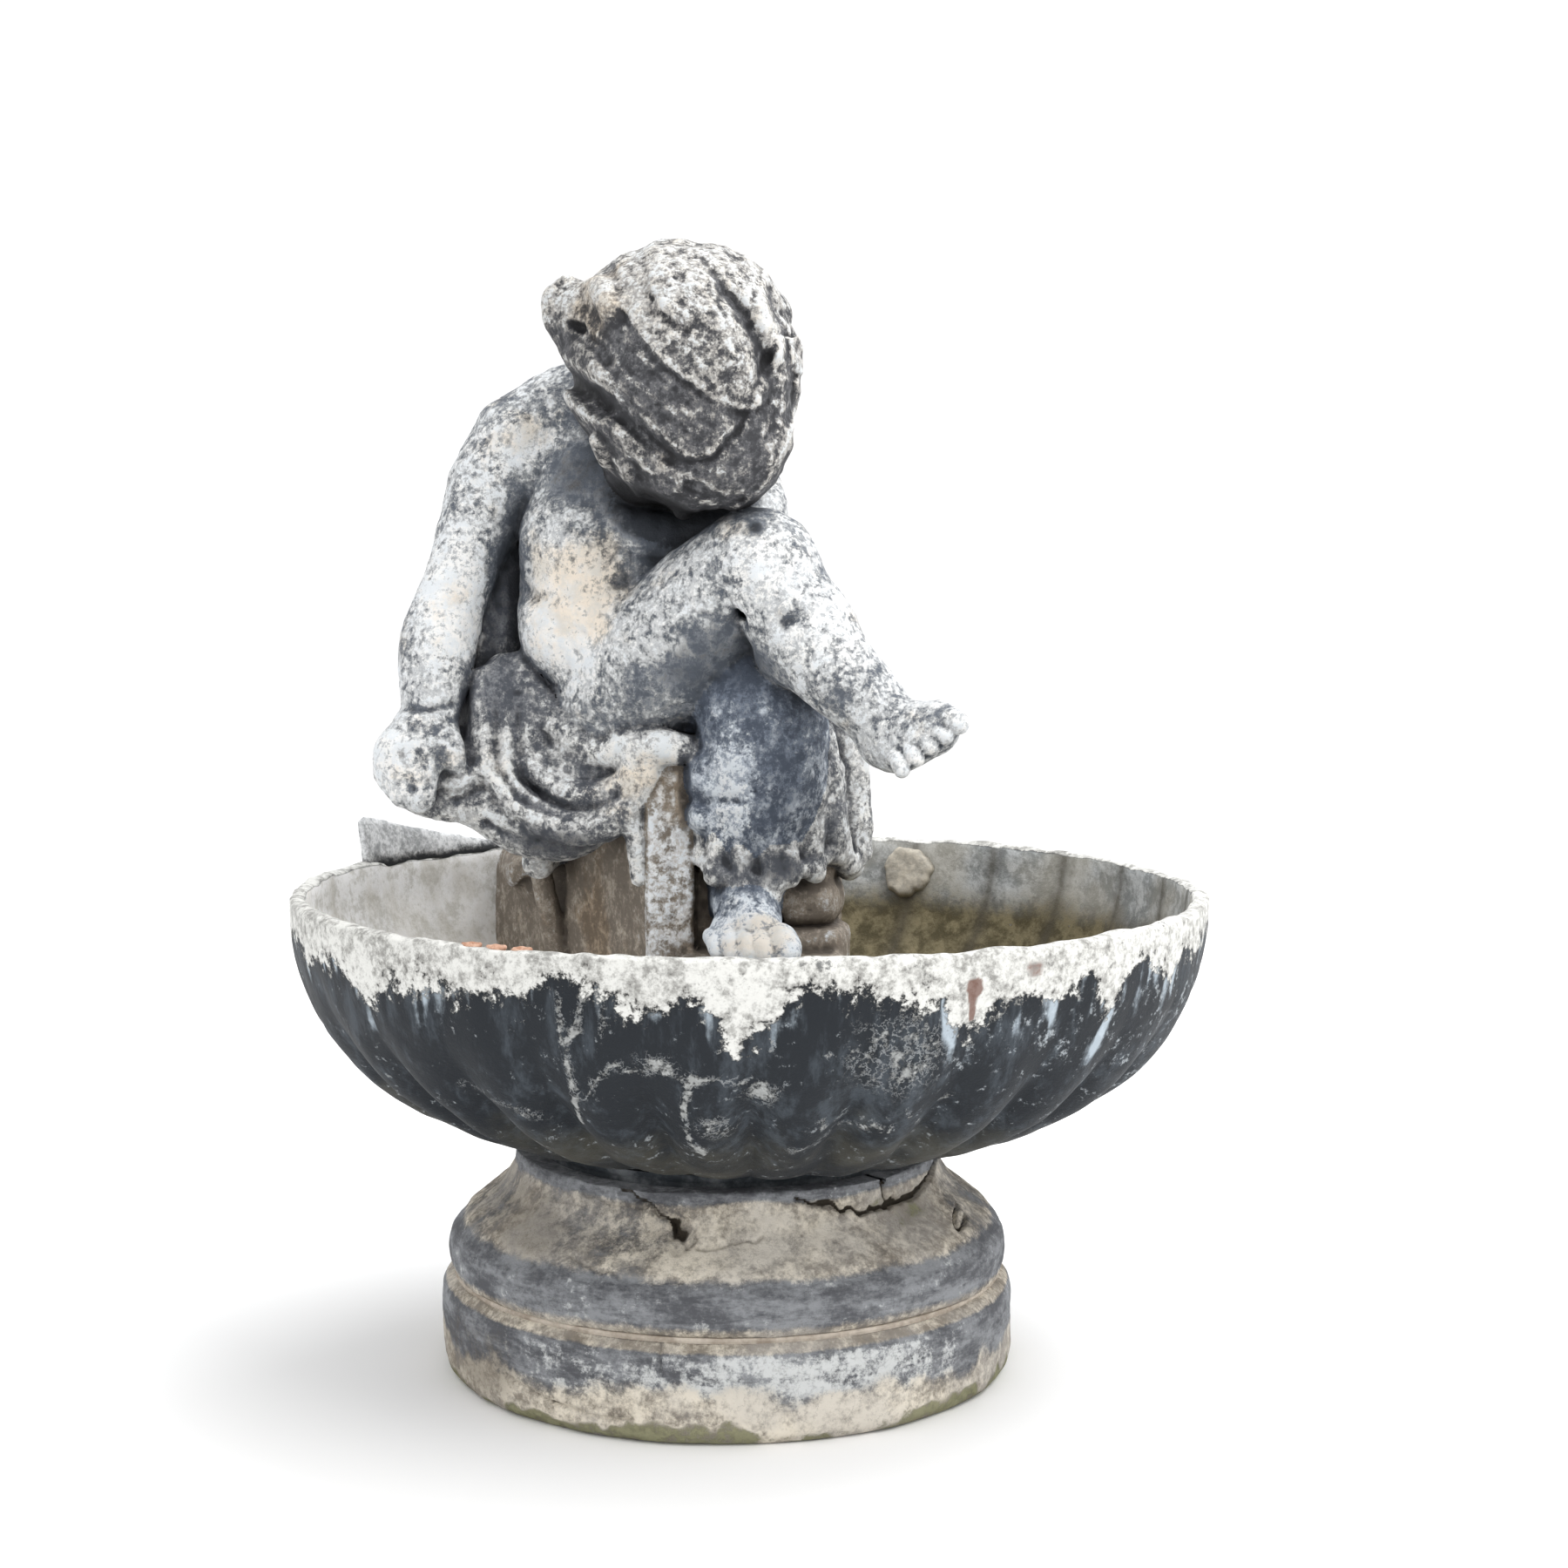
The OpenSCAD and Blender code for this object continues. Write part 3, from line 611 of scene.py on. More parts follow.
def lap_drapery():
    """The cloth under the fist and across the hip, gathered in swags."""
    c = Clay((-172, -60, 205), (20, 80, 400))
    c.tube([(-104, 0, 248, 13), (-88, 0, 239, 15), (-71, -2, 238, 15), (-56, -8, 244, 12.5),
            (-43, -14, 254, 10)], 5)
    c.egg((-92, 20, 268), (30, 28, 24), 8)
    c.egg((-62, 10, 264), (29, 27, 24), 8)
    c.tube([(-147, -6, 262, 6.5), (-137, -5, 254, 8.5), (-120, -3, 248, 8.5), (-104, -2, 249, 8)], 4)
    c.tube([(-136, 4, 270, 11), (-118, 6, 267, 13), (-104, 8, 268, 14)], 6)
    # cloth that hangs from the back between the arm and the flank, painted dark as shade by the dark spots
    # there
    c.tube([(-98, 40, 384, 8), (-102, 38, 362, 11), (-104, 36, 338, 14), (-106, 32, 314, 16),
            (-110, 24, 290, 15)], 5)
    c.groove([(-101, 20, 362, 1.2), (-101, 20, 336, 2.2), (-104, 14, 312, 2.4), (-106, 8, 296, 1.5)], 5)
    c.tube([(-130, -10, 257, 4), (-118, -11, 257, 5), (-108, -9, 263, 5), (-104, -5, 272, 4)], 2.5)
    c.tube([(-122, -7, 266, 4.5), (-112, -6, 270, 5), (-106, -3, 280, 4)], 2.5)
    swag = [(-103, -6, 275, 5.5), (-97, -10, 258, 6.5), (-84, -14, 246, 7.5), (-68, -18, 239, 8),
            (-53, -21, 241, 8), (-44, -23, 248, 7), (-37, -25, 259, 6.5), (-32, -25, 269, 6.5)]
    c.tube(swag, 3)
    c.tube([(-84, -9, 266, 5), (-72, -14, 256, 6), (-57, -17, 253, 6), (-45, -21, 258, 5.5),
            (-37, -24, 267, 5.5)], 3)
    c.tube([(-87, 6, 309, 5), (-79, -4, 291, 6), (-66, -12, 278, 6.5), (-51, -17, 272, 6.5),
            (-37, -21, 274, 7.5)], 4)
    c.egg((-97, 6, 286), (15, 14, 27), 8)
    for x, lean in ((-107, 2), (-97, 1), (-88, 3)):
        c.tube([(x, 0, 303, 3), (x + lean, -4, 286, 5.5), (x + 2 * lean, -7, 264, 6)], 5)
    for x in (-101.5, -92):
        c.groove([(x + 2, -9, 296, 0.8), (x + 2, -12, 280, 1.3), (x + 3, -15, 264, 1.3)], 4)
    c.groove([(-96, -15, 262, 0.8), (-88, -19, 252, 1.5), (-74, -23, 247, 1.8), (-60, -26, 247, 1.6),
              (-48, -29, 254, 0.8)], 3.5)
    c.groove([(-84, -14, 277, 0.8), (-72, -19, 267, 1.6), (-58, -23, 263, 1.6), (-46, -27, 266, 0.8)], 3.5)
    c.groove([(-126, -15, 254, 1), (-113, -15, 253, 1.6), (-106, -15, 259, 1)], 3.5)
    c.groove([(-104, -11, 240, 1), (-90, -15, 232, 1.6), (-70, -19, 229, 1.6), (-54, -19, 233, 1)], 4)
    c.tube([(-44, -22, 276, 7), (-33, -27, 276, 7.5), (-22, -28, 275, 7), (-12, -24, 273, 6)], 4)
    c.tube([(-40, -26, 270, 4), (-41, -24, 250, 5), (-39, -24, 232, 4), (-38, -24, 218, 3)], 2.5)
    return c


def side_drapery():
    """The cloth beside and round the standing leg, down to its hem."""
    c = Clay((-40, -65, 190), (85, 60, 310))
    c.tube([(44, 6, 290, 9), (50, 8, 270, 10.5), (52, 8, 252, 10.5), (54, 7, 236, 10), (52, 4, 224, 9)], 4)
    c.tube([(56, 6, 272, 5), (58, 7, 256, 4.5), (56, 8, 240, 5), (58, 4, 226, 6)], 2)
    c.tube([(46, -4, 262, 5), (47, -4, 244, 6), (49, -5, 228, 6.5), (52, -3, 221, 6)], 2.5)
    c.tube([(31, -20, 276, 7), (34, -22, 256, 8), (33, -24, 238, 8), (32, -24, 228, 7)], 6)
    c.tube([(40, -10, 278, 7), (43, -12, 256, 8), (44, -13, 238, 8), (45, -12, 229, 7)], 6)
    hem = [(-11, -27, 227), (-5, -37, 220), (6, -42, 216), (19, -42, 214), (27, -37, 219), (38, -27, 221),
           (47, -10, 229)]
    for k, (x, y, z) in enumerate(hem):
        inward = np.array([12 - x, -18 - y, 0]) * 0.15
        low, top = np.array([x, y, z]), np.array([x, y, z + 20]) + inward
        r = (3.0, 4.0, 3.2, 4.4, 3.0, 4.4, 3.6)[k]
        c.tube([(*top, 4.2), (*((top + low) / 2), 4.4), (*low, r)], 5)
    c.tube([(x, y + 1.5, z + 3, 3.4) for x, y, z in hem], 4)
    c.groove([(52, -8, 262, 1.6), (53.5, -6, 244, 1.8), (56, -5, 228, 1.6)], 1.5)
    return c


def back_drapery():
    """The cloth that hangs round the back of the seat in folds."""
    c = Clay((-120, -5, 185), (75, 125, 320))
    c.tube([(-86, 36, 272, 15), (-76, 70, 268, 16), (-40, 86, 268, 16), (6, 84, 268, 16), (36, 60, 270, 14),
            (46, 26, 276, 11)], 8)
    c.block([(-84, 40), (46, 30), (48, 86), (20, 98), (-50, 98), (-84, 74)], 216, 274, 14, 6)
    folds = 9
    hem = []
    for k in range(folds):
        a = math.radians(200 - 205 * (k + 0.22 * math.sin(5.0 * k)) / (folds - 1))
        x, y = -19 + 70 * math.cos(a), 52 + 48 * math.sin(a)
        drop = 209 + 7 * math.sin(3.1 * k)
        lean = 4 * math.sin(1.7 * k)
        c.tube([(x * 0.9 - 2, y - 6, 284, 6), (x, y, 262, 8), (x + lean, y + 2, 236, 8.5),
                (x + 1.5 * lean, y + 1, drop + 8, 6.5)], 8)
        hem.append((x + 1.5 * lean, y, drop + 7, 5.5))
        b = a - math.radians(12)
        gx, gy = -19 + 79 * math.cos(b), 52 + 57 * math.sin(b)
        c.groove([(gx, gy, 266, 1), (gx + lean, gy, 244, 3.5), (gx + 1.5 * lean, gy, 216, 4.5)], 7)
    c.tube(hem, 5)
    return c


# ---- plinth and rock -------------------------------------------------------------------

def seat_plinth():
    """The upright block that the figure sits on, with a pier at its front corner."""
    c = Clay((-110, -50, 95), (75, 105, 285))
    c.block([(-34, -21), (46, -14), (51, 30), (44, 80), (-60, 84), (-76, 56)], 112, 264, 6)
    c.block([(-35, -28), (-14, -28), (-14, -8), (-35, -8)], 112, 272, 3)
    c.groove([(-39, -23, 262, 3), (-39, -22, 200, 4), (-39, -22, 112, 4)], 2)
    c.groove([(-24.5, -32.5, 262, 3.5), (-24.5, -32.5, 190, 3.5), (-24.5, -32.5, 112, 3.5)], 2)
    c.tube([(-86, 54, 214, 5), (-82, 55, 192, 5.5), (-77, 56, 166, 6), (-72, 57, 122, 6.5)], 3)
    c.dent((-62, 22, 198), (2.6, 6, 3.8), 1.5)
    return c


def bowl_share(z, floor_share):
    """How far out the bowl's inner wall stands at a height, as a share of its radii at the rim."""
    low, high = box_mm("basin_shell")
    rise = np.clip((high[2] - 1.2 - z) / (high[2] - 9.2 - low[2]), 0, 1) ** (SECTION_Q / 2)
    return floor_share + (1 - floor_share) * np.sqrt(1 - rise * rise) ** (2 / SECTION_P)


def trim_to_bowl(c):
    """Cuts away what would come out through the bowl's wall."""
    centre, radii = footprint("basin_shell")
    radii = radii - BASIN_WALL
    rim = box_mm("basin_shell")[1][2]
    floor_radius = footprint("basin_foot")[1][0] - 6
    _, x, y, z = c.everywhere()
    x, y, z = x + FIGURE_SHIFT[0] - centre[0], y + FIGURE_SHIFT[1] - centre[1], z + FIGURE_SHIFT[2]
    out = np.hypot(x / radii[0], y / radii[1])
    away = (out - bowl_share(z, floor_radius / radii[0])) * radii[1]
    c.d = np.maximum(c.d, np.where(z < rim, away, -FAR)).astype(np.float32)


def rock_base():
    """The rock behind the plinth."""
    c = Clay((-145, 20, 95), (85, 175, 235))
    c.block([(-78, 58), (-30, 60), (48, 70), (56, 128), (-30, 150), (-116, 134)], 112, 214, 12)
    c.egg((-92, 92, 206), (14, 24, 12), 6)
    c.groove([(-88, 60, 206, 2), (-98, 84, 196, 3), (-106, 104, 180, 3), (-108, 108, 150, 3)], 3)
    c.groove([(-80, 54, 176, 2), (-92, 74, 168, 3), (-104, 98, 160, 2)], 3)
    trim_to_bowl(c)
    return c


def foot_rock():
    """The slabs of rock under the standing foot."""
    c = Clay((-50, -100, 95), (80, 40, 230))
    c.block([(-22, -73), (26, -76), (52, -42), (50, -6), (-22, -14)], 112, 187, 7)
    c.block([(22, -32), (50, -28), (55, 8), (20, 8)], 150, 196, 7, 2)
    c.block([(21, -26), (47, -22), (53, 14), (20, 12)], 196.5, 215, 8, 1)
    c.groove([(18, -34, 196, 1.6), (36, -31, 197, 1.8), (54, -26, 196, 1.6), (58, 8, 196, 1.6)], 1)
    return c


# Each sculpted piece: how softly it runs into the ones before it, and its record slot.
SCULPTED = {
    "seat_plinth": (seat_plinth, 2, "seat_lead"),
    "rock_base": (rock_base, 4, "seat_lead"),
    "foot_rock": (foot_rock, 2, "seat_lead"),
    "back_drapery": (back_drapery, 2, "drapery_lead"),
    "torso": (torso, 3, "figure_lead"),
    "lap_drapery": (lap_drapery, 2, "drapery_lead"),
    "side_drapery": (side_drapery, 2, "drapery_lead"),
    "left_leg": (left_leg, 3, "dark_figure_lead"),
    "right_leg": (right_leg, 4, "figure_lead"),
    "right_arm": (right_arm, 4, "figure_lead"),
    "left_arm": (left_arm, 3, "figure_lead"),
    "head": (head, 3, "hair_lead"),
}


# ---- mesh making -------------------------------------------------------------------------

def new_mesh(name, points, faces):
    """Mesh object from points in millimetres and faces as lists or a quad array."""
    mesh = bpy.data.meshes.new(name)
    mesh.from_pydata((np.asarray(points) / MM).tolist(), [], faces)
    mesh.polygons.foreach_set("use_smooth", [True] * len(mesh.polygons))
    mesh.update()
    obj = bpy.data.objects.new(name, mesh)
    bpy.context.scene.collection.objects.link(obj)
    return obj


def tint(obj, name, values):
    """Stores one number per point for the materials to read."""
    attribute = obj.data.attributes.new(name, "FLOAT", "POINT")
    attribute.data.foreach_set("value", np.asarray(values, np.float32))


def point_normals(points, quads):
    """Normal at every point of a surface of quads."""
    a, b, c, d = (points[quads[:, k]] for k in range(4))
    n = np.cross(c - a, d - b)
    out = np.zeros_like(points)
    for k in range(4):
        np.add.at(out, quads[:, k], n)
    return out / np.maximum(np.linalg.norm(out, axis=1, keepdims=True), 1e-9)


def bulge(points, normals, quads, rounds):
    """How far each point stands above the mean of its neighbours, in mm; rounds widens the look."""
    count = np.zeros(len(points))
    for k in range(4):
        np.add.at(count, quads[:, k], 2)
    mean = points
    for _ in range(rounds):
        total = np.zeros_like(points)
        for k in range(4):
            np.add.at(total, quads[:, k], mean[quads[:, (k + 1) % 4]] + mean[quads[:, (k + 3) % 4]])
        mean = total / np.maximum(count, 1)[:, None]
    return np.sum((points - mean) * normals, axis=1)


def voted(labels, quads, count):
    """Labels smoothed so that each face agrees with most of its neighbours' corners."""
    votes = np.zeros((quads.max() + 1, count), np.float32)
    for k in range(4):
        np.add.at(votes, (quads[:, k], labels), 1)
    return sum(votes[quads[:, k]] for k in range(4)).argmax(1)


def open_loops(faces, count):
    """The loops of edges that only one face uses, as lists of point numbers."""
    edges = np.concatenate([faces[:, [k, (k + 1) % 4]] for k in range(4)])
    key = np.sort(edges, axis=1)
    _, first, uses = np.unique(key[:, 0] * count + key[:, 1], return_index=True, return_counts=True)
    onward = {}
    for a, b in edges[first[uses == 1]].tolist():
        onward.setdefault(b, []).append(a)
    loops = []
    while onward:
        start = next(iter(onward))
        loop, here = [start], start
        while onward.get(here):
            following = onward[here].pop()
            if not onward[here]:
                del onward[here]
            if following == start:
                break
            loop.append(following)
            here = following
        loops.append(loop)
    return loops


def sunk(whole, points, depth):
    """Points moved inwards until they lie at least a depth under the solid's skin."""
    steps = np.eye(3) * 1.5
    for _ in range(4):
        slope = np.stack([whole.at(points + step) - whole.at(points - step) for step in steps], 1)
        slope /= np.maximum(np.linalg.norm(slope, axis=1, keepdims=True), 1e-6)
        points = points - slope * np.maximum(whole.at(points) + depth, 0)[:, None]
    return points


def closed_part(whole, points, quads):
    """The points that some quads use, their numbers, and caps under the skin that close every open loop."""
    used, local = np.unique(quads, return_inverse=True)
    local = local.reshape(quads.shape)
    where = points[used]
    extra, caps = [], []
    for loop in open_loops(local, len(used)):
        rings = 5 if len(loop) > 12 else 1
        outer = list(loop)
        hub = sunk(whole, where[loop].mean(0)[None, :], 3.0)
        for k in range(1, rings):
            ring = sunk(whole, where[loop] + (hub - where[loop]) * (k / rings), 1.5 + 0.5 * k)
            inner = [len(used) + len(extra) + n for n in range(len(loop))]
            extra += ring.tolist()
            caps += [[a, b, d, c] for a, b, c, d in zip(outer, outer[1:] + outer[:1],
                                                        inner, inner[1:] + inner[:1])]
            outer = inner
        centre = len(used) + len(extra)
        extra += hub.tolist()
        caps += [[a, b, centre] for a, b in zip(outer, outer[1:] + outer[:1])]
    return used, local, np.array(extra).reshape(-1, 3), caps


def weather(points, normals, amount):
    """Dents, pits and a rough skin."""
    dents = 0.60 * grit.layers(points, 14, 2)
    rough = 0.34 * grit.layers(points + 91, 4.5, 2)
    pits = -1.6 * np.clip(grit(points + 33, 3.0) - 0.66, 0, 1) * smooth(grit(points + 7, 19), 0.2, 0.5)
    return points + normals * (amount * (dents + rough + pits))[:, None]


def blended(solids):
    """One solid of all the pieces, each run into the ones before it as softly as its table says."""
    low = np.min([s.start for s in solids.values()], axis=0) * STEP
    high = np.max([s.start + s.size for s in solids.values()], axis=0) * STEP
    whole = Clay(low, high)
    for name, solid in solids.items():
        whole.join(solid, SCULPTED[name][1])
    return whole


def shelter(whole, points, normals):
    """How hollow the skin's surroundings are, and how thin the solid is under it."""
    hollow = np.zeros(len(points), np.float32)
    for reach in (3.0, 6.0, 12.0):
        hollow += (reach - whole.at(points + normals * reach)) / reach / 3
    ridge = np.zeros(len(points), np.float32)
    for reach in (2.5, 5.0):
        ridge += (reach + whole.at(points - normals * reach)) / reach / 2
    return hollow, ridge


def sculpt():
    """Blends all the pieces, then deals the one surface out again, so that no seam gapes."""
    solids = {name: make() for name, (make, _, _) in SCULPTED.items()}
    whole = blended(solids)
    points, quads = whole.surface()
    normals = point_normals(points, quads)
    centres = points[quads].mean(1)
    labels = np.array([s.at(centres) for s in solids.values()]).argmin(0)
    for _ in range(4):
        labels = voted(labels, quads, len(solids))
    hollow, ridge = shelter(whole, points, normals)
    points = weather(points, normals, 1.0)
    skin_normals = point_normals(points, quads)
    worn = np.clip(2.2 * bulge(points, skin_normals, quads, 3), -1, 1)
    out = {}
    for k, name in enumerate(solids):
        used, local, extra, caps = closed_part(whole, points, quads[labels == k])
        skin = np.vstack([points[used], extra])
        obj = new_mesh(name + "_form", skin + FIGURE_SHIFT, local.tolist() + caps)
        upward = np.tile((0, 0, 1.0), (len(extra), 1))
        obj.data.normals_split_custom_set_from_vertices(np.vstack([skin_normals[used], upward]).tolist())
        for attribute, values in (("hollow", hollow), ("ridge", ridge), ("worn", worn)):
            tint(obj, attribute, np.concatenate([values[used], np.zeros(len(extra))]))
        out[name] = (obj, skin)
    return out


def painted_mesh(name, points, faces, attributes):
    """A mesh with its painted attributes."""
    obj = new_mesh(name, points, faces)
    for key, values in attributes.items():
        tint(obj, key, values)
    return obj


# ---- lofted pieces: basin, socle ------------------------------------------------------------

def ring_faces(rings, around, closed=True):
    """Quads between rings of points; closed adds a fan at each end, to two points stored last."""
    k = np.arange(rings - 1)[:, None] * around
    i = np.arange(around)[None, :]
    j = (i + 1) % around
    quads = np.stack([k + i, k + j, k + around + j, k + around + i], -1).reshape(-1, 4).tolist()
    if closed:
        start, end = rings * around, rings * around + 1
        last = (rings - 1) * around
        quads += [[start, b, a] for a, b in zip(range(around), [*range(1, around), 0])]
        quads += [[end, last + a, last + b] for a, b in zip(range(around), [*range(1, around), 0])]
    return quads


def grid_normals(grid):
    """Normal at every point of a grid of rings, pointing to the left of the rings' order."""
    along = np.gradient(grid, axis=0)
    across = np.roll(grid, -1, 1) - np.roll(grid, 1, 1)
    n = np.cross(across, along)
    return n / np.maximum(np.linalg.norm(n, axis=-1, keepdims=True), 1e-9)


LOBES = 28
OUTSIDE, ON_RIM, INSIDE = 0, 0.5, 1


def fold_at(angles):
    """1 in the folds between the lobes, 0 on their crowns."""
    return 1 - np.abs(np.sin(LOBES * angles / 2))


def basin_ring(s, z, dent, centre, radii, angles):
    """One lobed ring: s scales the rim's radii, dent is how deep the creases are."""
    reach = [radii[k] * s - dent * fold_at(angles) for k in range(2)]
    return np.stack([centre[0] + reach[0] * np.cos(angles), centre[1] + reach[1] * np.sin(angles),
                     np.full_like(angles, z)], -1)


def lobe_fade(t):
    """How much of their full depth the creases have at step t down the wall."""
    return (0.08 + 0.92 * smooth(t, 0.0, 0.45)) * (1 - 0.2 * smooth(t, 0.8, 1.0))


def bowl_section(t, floor_share):
    """How far out and how far down the wall is at step t from rim to floor, as shares."""
    a = math.radians(90 * t)
    out = floor_share + (1 - floor_share) * math.cos(a) ** (2 / SECTION_P) if t < 1 else floor_share
    return out, math.sin(a) ** (2 / SECTION_Q)


def basin_rings(angles, fluted):
    """Rings up the outside, over the rim and down the inside, and the side that each is on."""
    centre, radii = footprint("basin_shell")
    foot, rim = (corner[2] for corner in box_mm("basin_shell"))
    foot_radius = footprint("basin_foot")[1][0]
    floor, inner = foot + 8, radii - BASIN_WALL
    rings, sides = [], []
    for t in np.linspace(1, 0, 70):
        s, fall = bowl_section(t, (foot_radius + 7) / radii[0])
        z = rim - 1.0 - (rim - 1.0 - foot) * fall
        rings.append(basin_ring(s, z, (5.0 + 1.5 * t) * lobe_fade(t), centre, radii, angles))
        sides.append(OUTSIDE)
    rounding = [(1.0, 0), (2.6, 0.3), (BASIN_WALL / 2, 0.4), (BASIN_WALL - 2.4, 0.2),
                (BASIN_WALL - 1, -0.2)]
    for inset, lift in rounding:
        dent = 5.0 * lobe_fade(0) * (1 - 0.55 * inset / BASIN_WALL)
        rings.append(basin_ring(1, rim + lift - 0.2, dent, centre, radii - inset, angles))
        sides.append(ON_RIM)
    for t in np.linspace(0, 1, 52):
        s, fall = bowl_section(t, (foot_radius - 6) / radii[0])
        z = rim - 1.2 - (rim - 1.2 - floor) * fall
        rings.append(basin_ring(s, z, 3.4 * lobe_fade(t) * fluted, centre, inner, angles + 0.10 * t))
        sides.append(INSIDE)
    hub = [[*centre, foot], [*centre, floor]]
    return np.array(rings), np.array(sides, float), hub


def worn_basin(grid, normals, side, drop, angles):
    """The rings after knocks, wear in the folds and a rim that is no longer true."""
    on_rim = np.exp(-(drop / 5) ** 2)
    wear = 0.9 * grit.layers(grid, 42, 2) + 0.45 * grit.layers(grid + 60, 13, 2)
    wear -= 4.5 * fold_at(angles) * smooth(drop, 38, 78) * smooth(drop, 99, 84) * (side == OUTSIDE)
    grid = grid + normals * (wear * (1 - 0.4 * on_rim))[..., None]
    level = grid * (1, 1, 0)
    chip = 2.2 * spot(np.degrees(angles), 0 * angles, (141, 0), (18, 1))
    grid[..., 2] += on_rim * (0.9 * grit(level, 17) + 0.7 * grit(level + 40, 6.5) - chip)
    shake = on_rim * (side - 0.5) * 1.2 * grit(grid + 9, 9)
    grid[..., :2] += shake[..., None] * normals[..., :2]
    return grid


def basin():
    """The shell basin: lobed outside, fluted inside on the right, with a worn flat rim."""
    centre = footprint("basin_shell")[0]
    around = 780
    angles = np.arange(around) * 2 * math.pi / around
    # flutes show inside on the right and fade out on the left
    fluted = 0.10 + 1.0 * smooth(np.cos(angles - math.radians(20)), -0.15, 0.5)
    grid, sides, hub = basin_rings(angles, fluted)
    side = np.repeat(sides[:, None], around, 1)
    normals = grid_normals(grid)
    drop = box_mm("basin_shell")[1][2] - grid[..., 2]
    grid = worn_basin(grid, normals, side, drop, angles)
    u = grid[..., 0]
    outer, inside = side == OUTSIDE, side == INSIDE
    front = outer & (grid[..., 1] < centre[1])
    crust, streak = lichen(grid, drop, np.degrees(angles), outer)
    crust = np.where(side == ON_RIM, 1.1, crust)
    drawn = np.where(front, scars(u, drop), 0)
    grid = grid + normals * (crust * 0.35 + drawn * 0.3)[..., None]
    crease = fold_at(angles) ** 3
    values = {
        "crust": crust,
        "streak": streak,
        "scar": drawn,
        "inside": inside * 1.0,
        # silt towards the bottom, with painted shade towards the right of the inside
        "depth": smooth(drop, 4, 46) * inside * (0.2 + 0.8 * smooth(u, -70, 20)),
        # painted light: the left of the inside, where light falls, is painted pale
        "painted_light_inside_left": inside * smooth(u, 10, -90),
        "crease": np.where(outer, crease, crease * fluted * inside),
        "rust": np.where(front, rust_marks(u, drop), 0),
        "low": smooth(drop, 55, 95) * outer,
        # pale run-off and flecks thicker on the right of the outside, partly painted light on the lit side
        "runs_and_light_right": outer * smooth(u, 40, 150) * smooth(drop, 88, 50),
    }
    painted = {k: [*np.broadcast_to(v, drop.shape).ravel(), 0, 0] for k, v in values.items()}
    faces = ring_faces(len(grid), around)
    return painted_mesh("basin_shell_form", np.vstack([grid.reshape(-1, 3), hub]), faces, painted)


# Runs of lichen down the outside: angle, half width in degrees, and extra length in mm.
DRIPS = [(205, 5, 2), (219, 5, 6), (240, 5, 5), (257, 3.5, 8), (268.5, 2.6, 19), (272, 1.8, 12),
         (283, 2.5, 4), (295.3, 2.6, 12), (306, 4, 5), (316, 2.2, 22), (329, 3, 9), (341, 3, 5),
         (30, 4, 12), (75, 5, 9), (120, 4, 14), (165, 5, 10)]


def lichen(grid, drop, degrees, outer):
    """How much pale lichen crust, and how much of the white run-off below it, each point carries."""
    ring = grid * (1, 1, 0)
    edge = 15.5 + 6.5 * grit(ring + 5, 27) + 5.0 * grit(ring + 31, 9) + 3.0 * grit(grid + 77, 4.2)
    for angle, half, extra in DRIPS:
        away = (degrees - angle + 180) % 360 - 180
        edge = edge + extra * np.exp(-(away / half) ** 2)
    crust = smooth(edge - drop, -14.0, 14.0)
    fall = np.clip((drop - edge) / 34, 0, 1)
    threads = np.clip(grit(ring + 13, 7) * 0.7 + grit(ring + 3, 3.1) * 0.6 + 0.05, 0, 1)
    streak = threads * (1 - fall) ** 2 * (drop > edge - 3)
    return np.where(outer, crust, 0), np.where(outer, streak, 0)


# Pale lines and patches on the basin's front, in mm across and mm below the rim:
# path, half width and strength of each line; centre, size and strength of each patch.
SCAR_LINES = [([(-63, 16), (-62, 34), (-58, 52), (-57, 72)], 2.2, 0.95), ([(-52, 14), (-60, 36)], 2.0, 0.9),
              ([(-45, 16), (-47, 30)], 2.2, 0.8),
              ([(-58, 60), (-50, 50), (-44, 43), (-30, 42), (-12, 46), (9, 46)], 2.2, 0.95),
              ([(-15, 45), (-16, 60), (-14, 76), (-9, 81)], 2.4, 1.0),
              ([(-105, 60), (-84, 66), (-70, 72)], 3, 0.5), ([(26, 82), (44, 74), (60, 70)], 2.4, 0.5)]
SCAR_PATCHES = [((-27, 41), (12, 6.5), 0.8), ((-3, 69), (11, 8), 0.8), ((66, 38), (30, 24), 0.75),
                ((13, 52), (11, 8), 0.8)]


def scars(u, drop):
    """How strongly each place of the basin's front is scarred."""
    wobble = 1.6 * grit(np.stack([u, drop, 0 * u], -1), 6)
    u, v = u + wobble, drop + wobble
    flecks = []
    for k in range(9):
        start = (36 + 6 * k + 4 * math.sin(5 * k), 66 + 6 * math.sin(3 * k))
        flecks.append(([start, (start[0] + 3 * math.cos(2 * k), start[1] + 4)], 1.5, 0.8))
    marks = [strength * stroke(u, v, path, width) for path, width, strength in SCAR_LINES + flecks]
    marks += [strength * spot(u, v, at, size) for at, size, strength in SCAR_PATCHES]
    return np.max(marks, axis=0)


def rust_marks(u, drop):
    """Rusty run near the rim at the right, and the rusty plugs at the left."""
    total = spot(u, drop, (95, 13), (6, 7)) + spot(u, drop, (94, 22), (2.5, 10))
    total += 0.8 * spot(u, drop, (119, 8), (8, 5.5)) + 0.5 * spot(u, drop, (-104, 3), (14, 5))
    return np.clip(total, 0, 1)


def evenly_spaced(outline, step):
    """Points along an outline at even steps, with its corners softened."""
    p = np.array(outline, float)
    length = np.concatenate([[0], np.cumsum(np.hypot(*np.diff(p, axis=0).T))])
    along = np.linspace(0, length[-1], int(length[-1] / step))
    even = [np.interp(along, length, p[:, k]) for k in range(2)]
    for values in even:
        values[2:-2] = np.convolve(values, np.ones(5) / 5, "valid")
    return np.stack(even, -1)


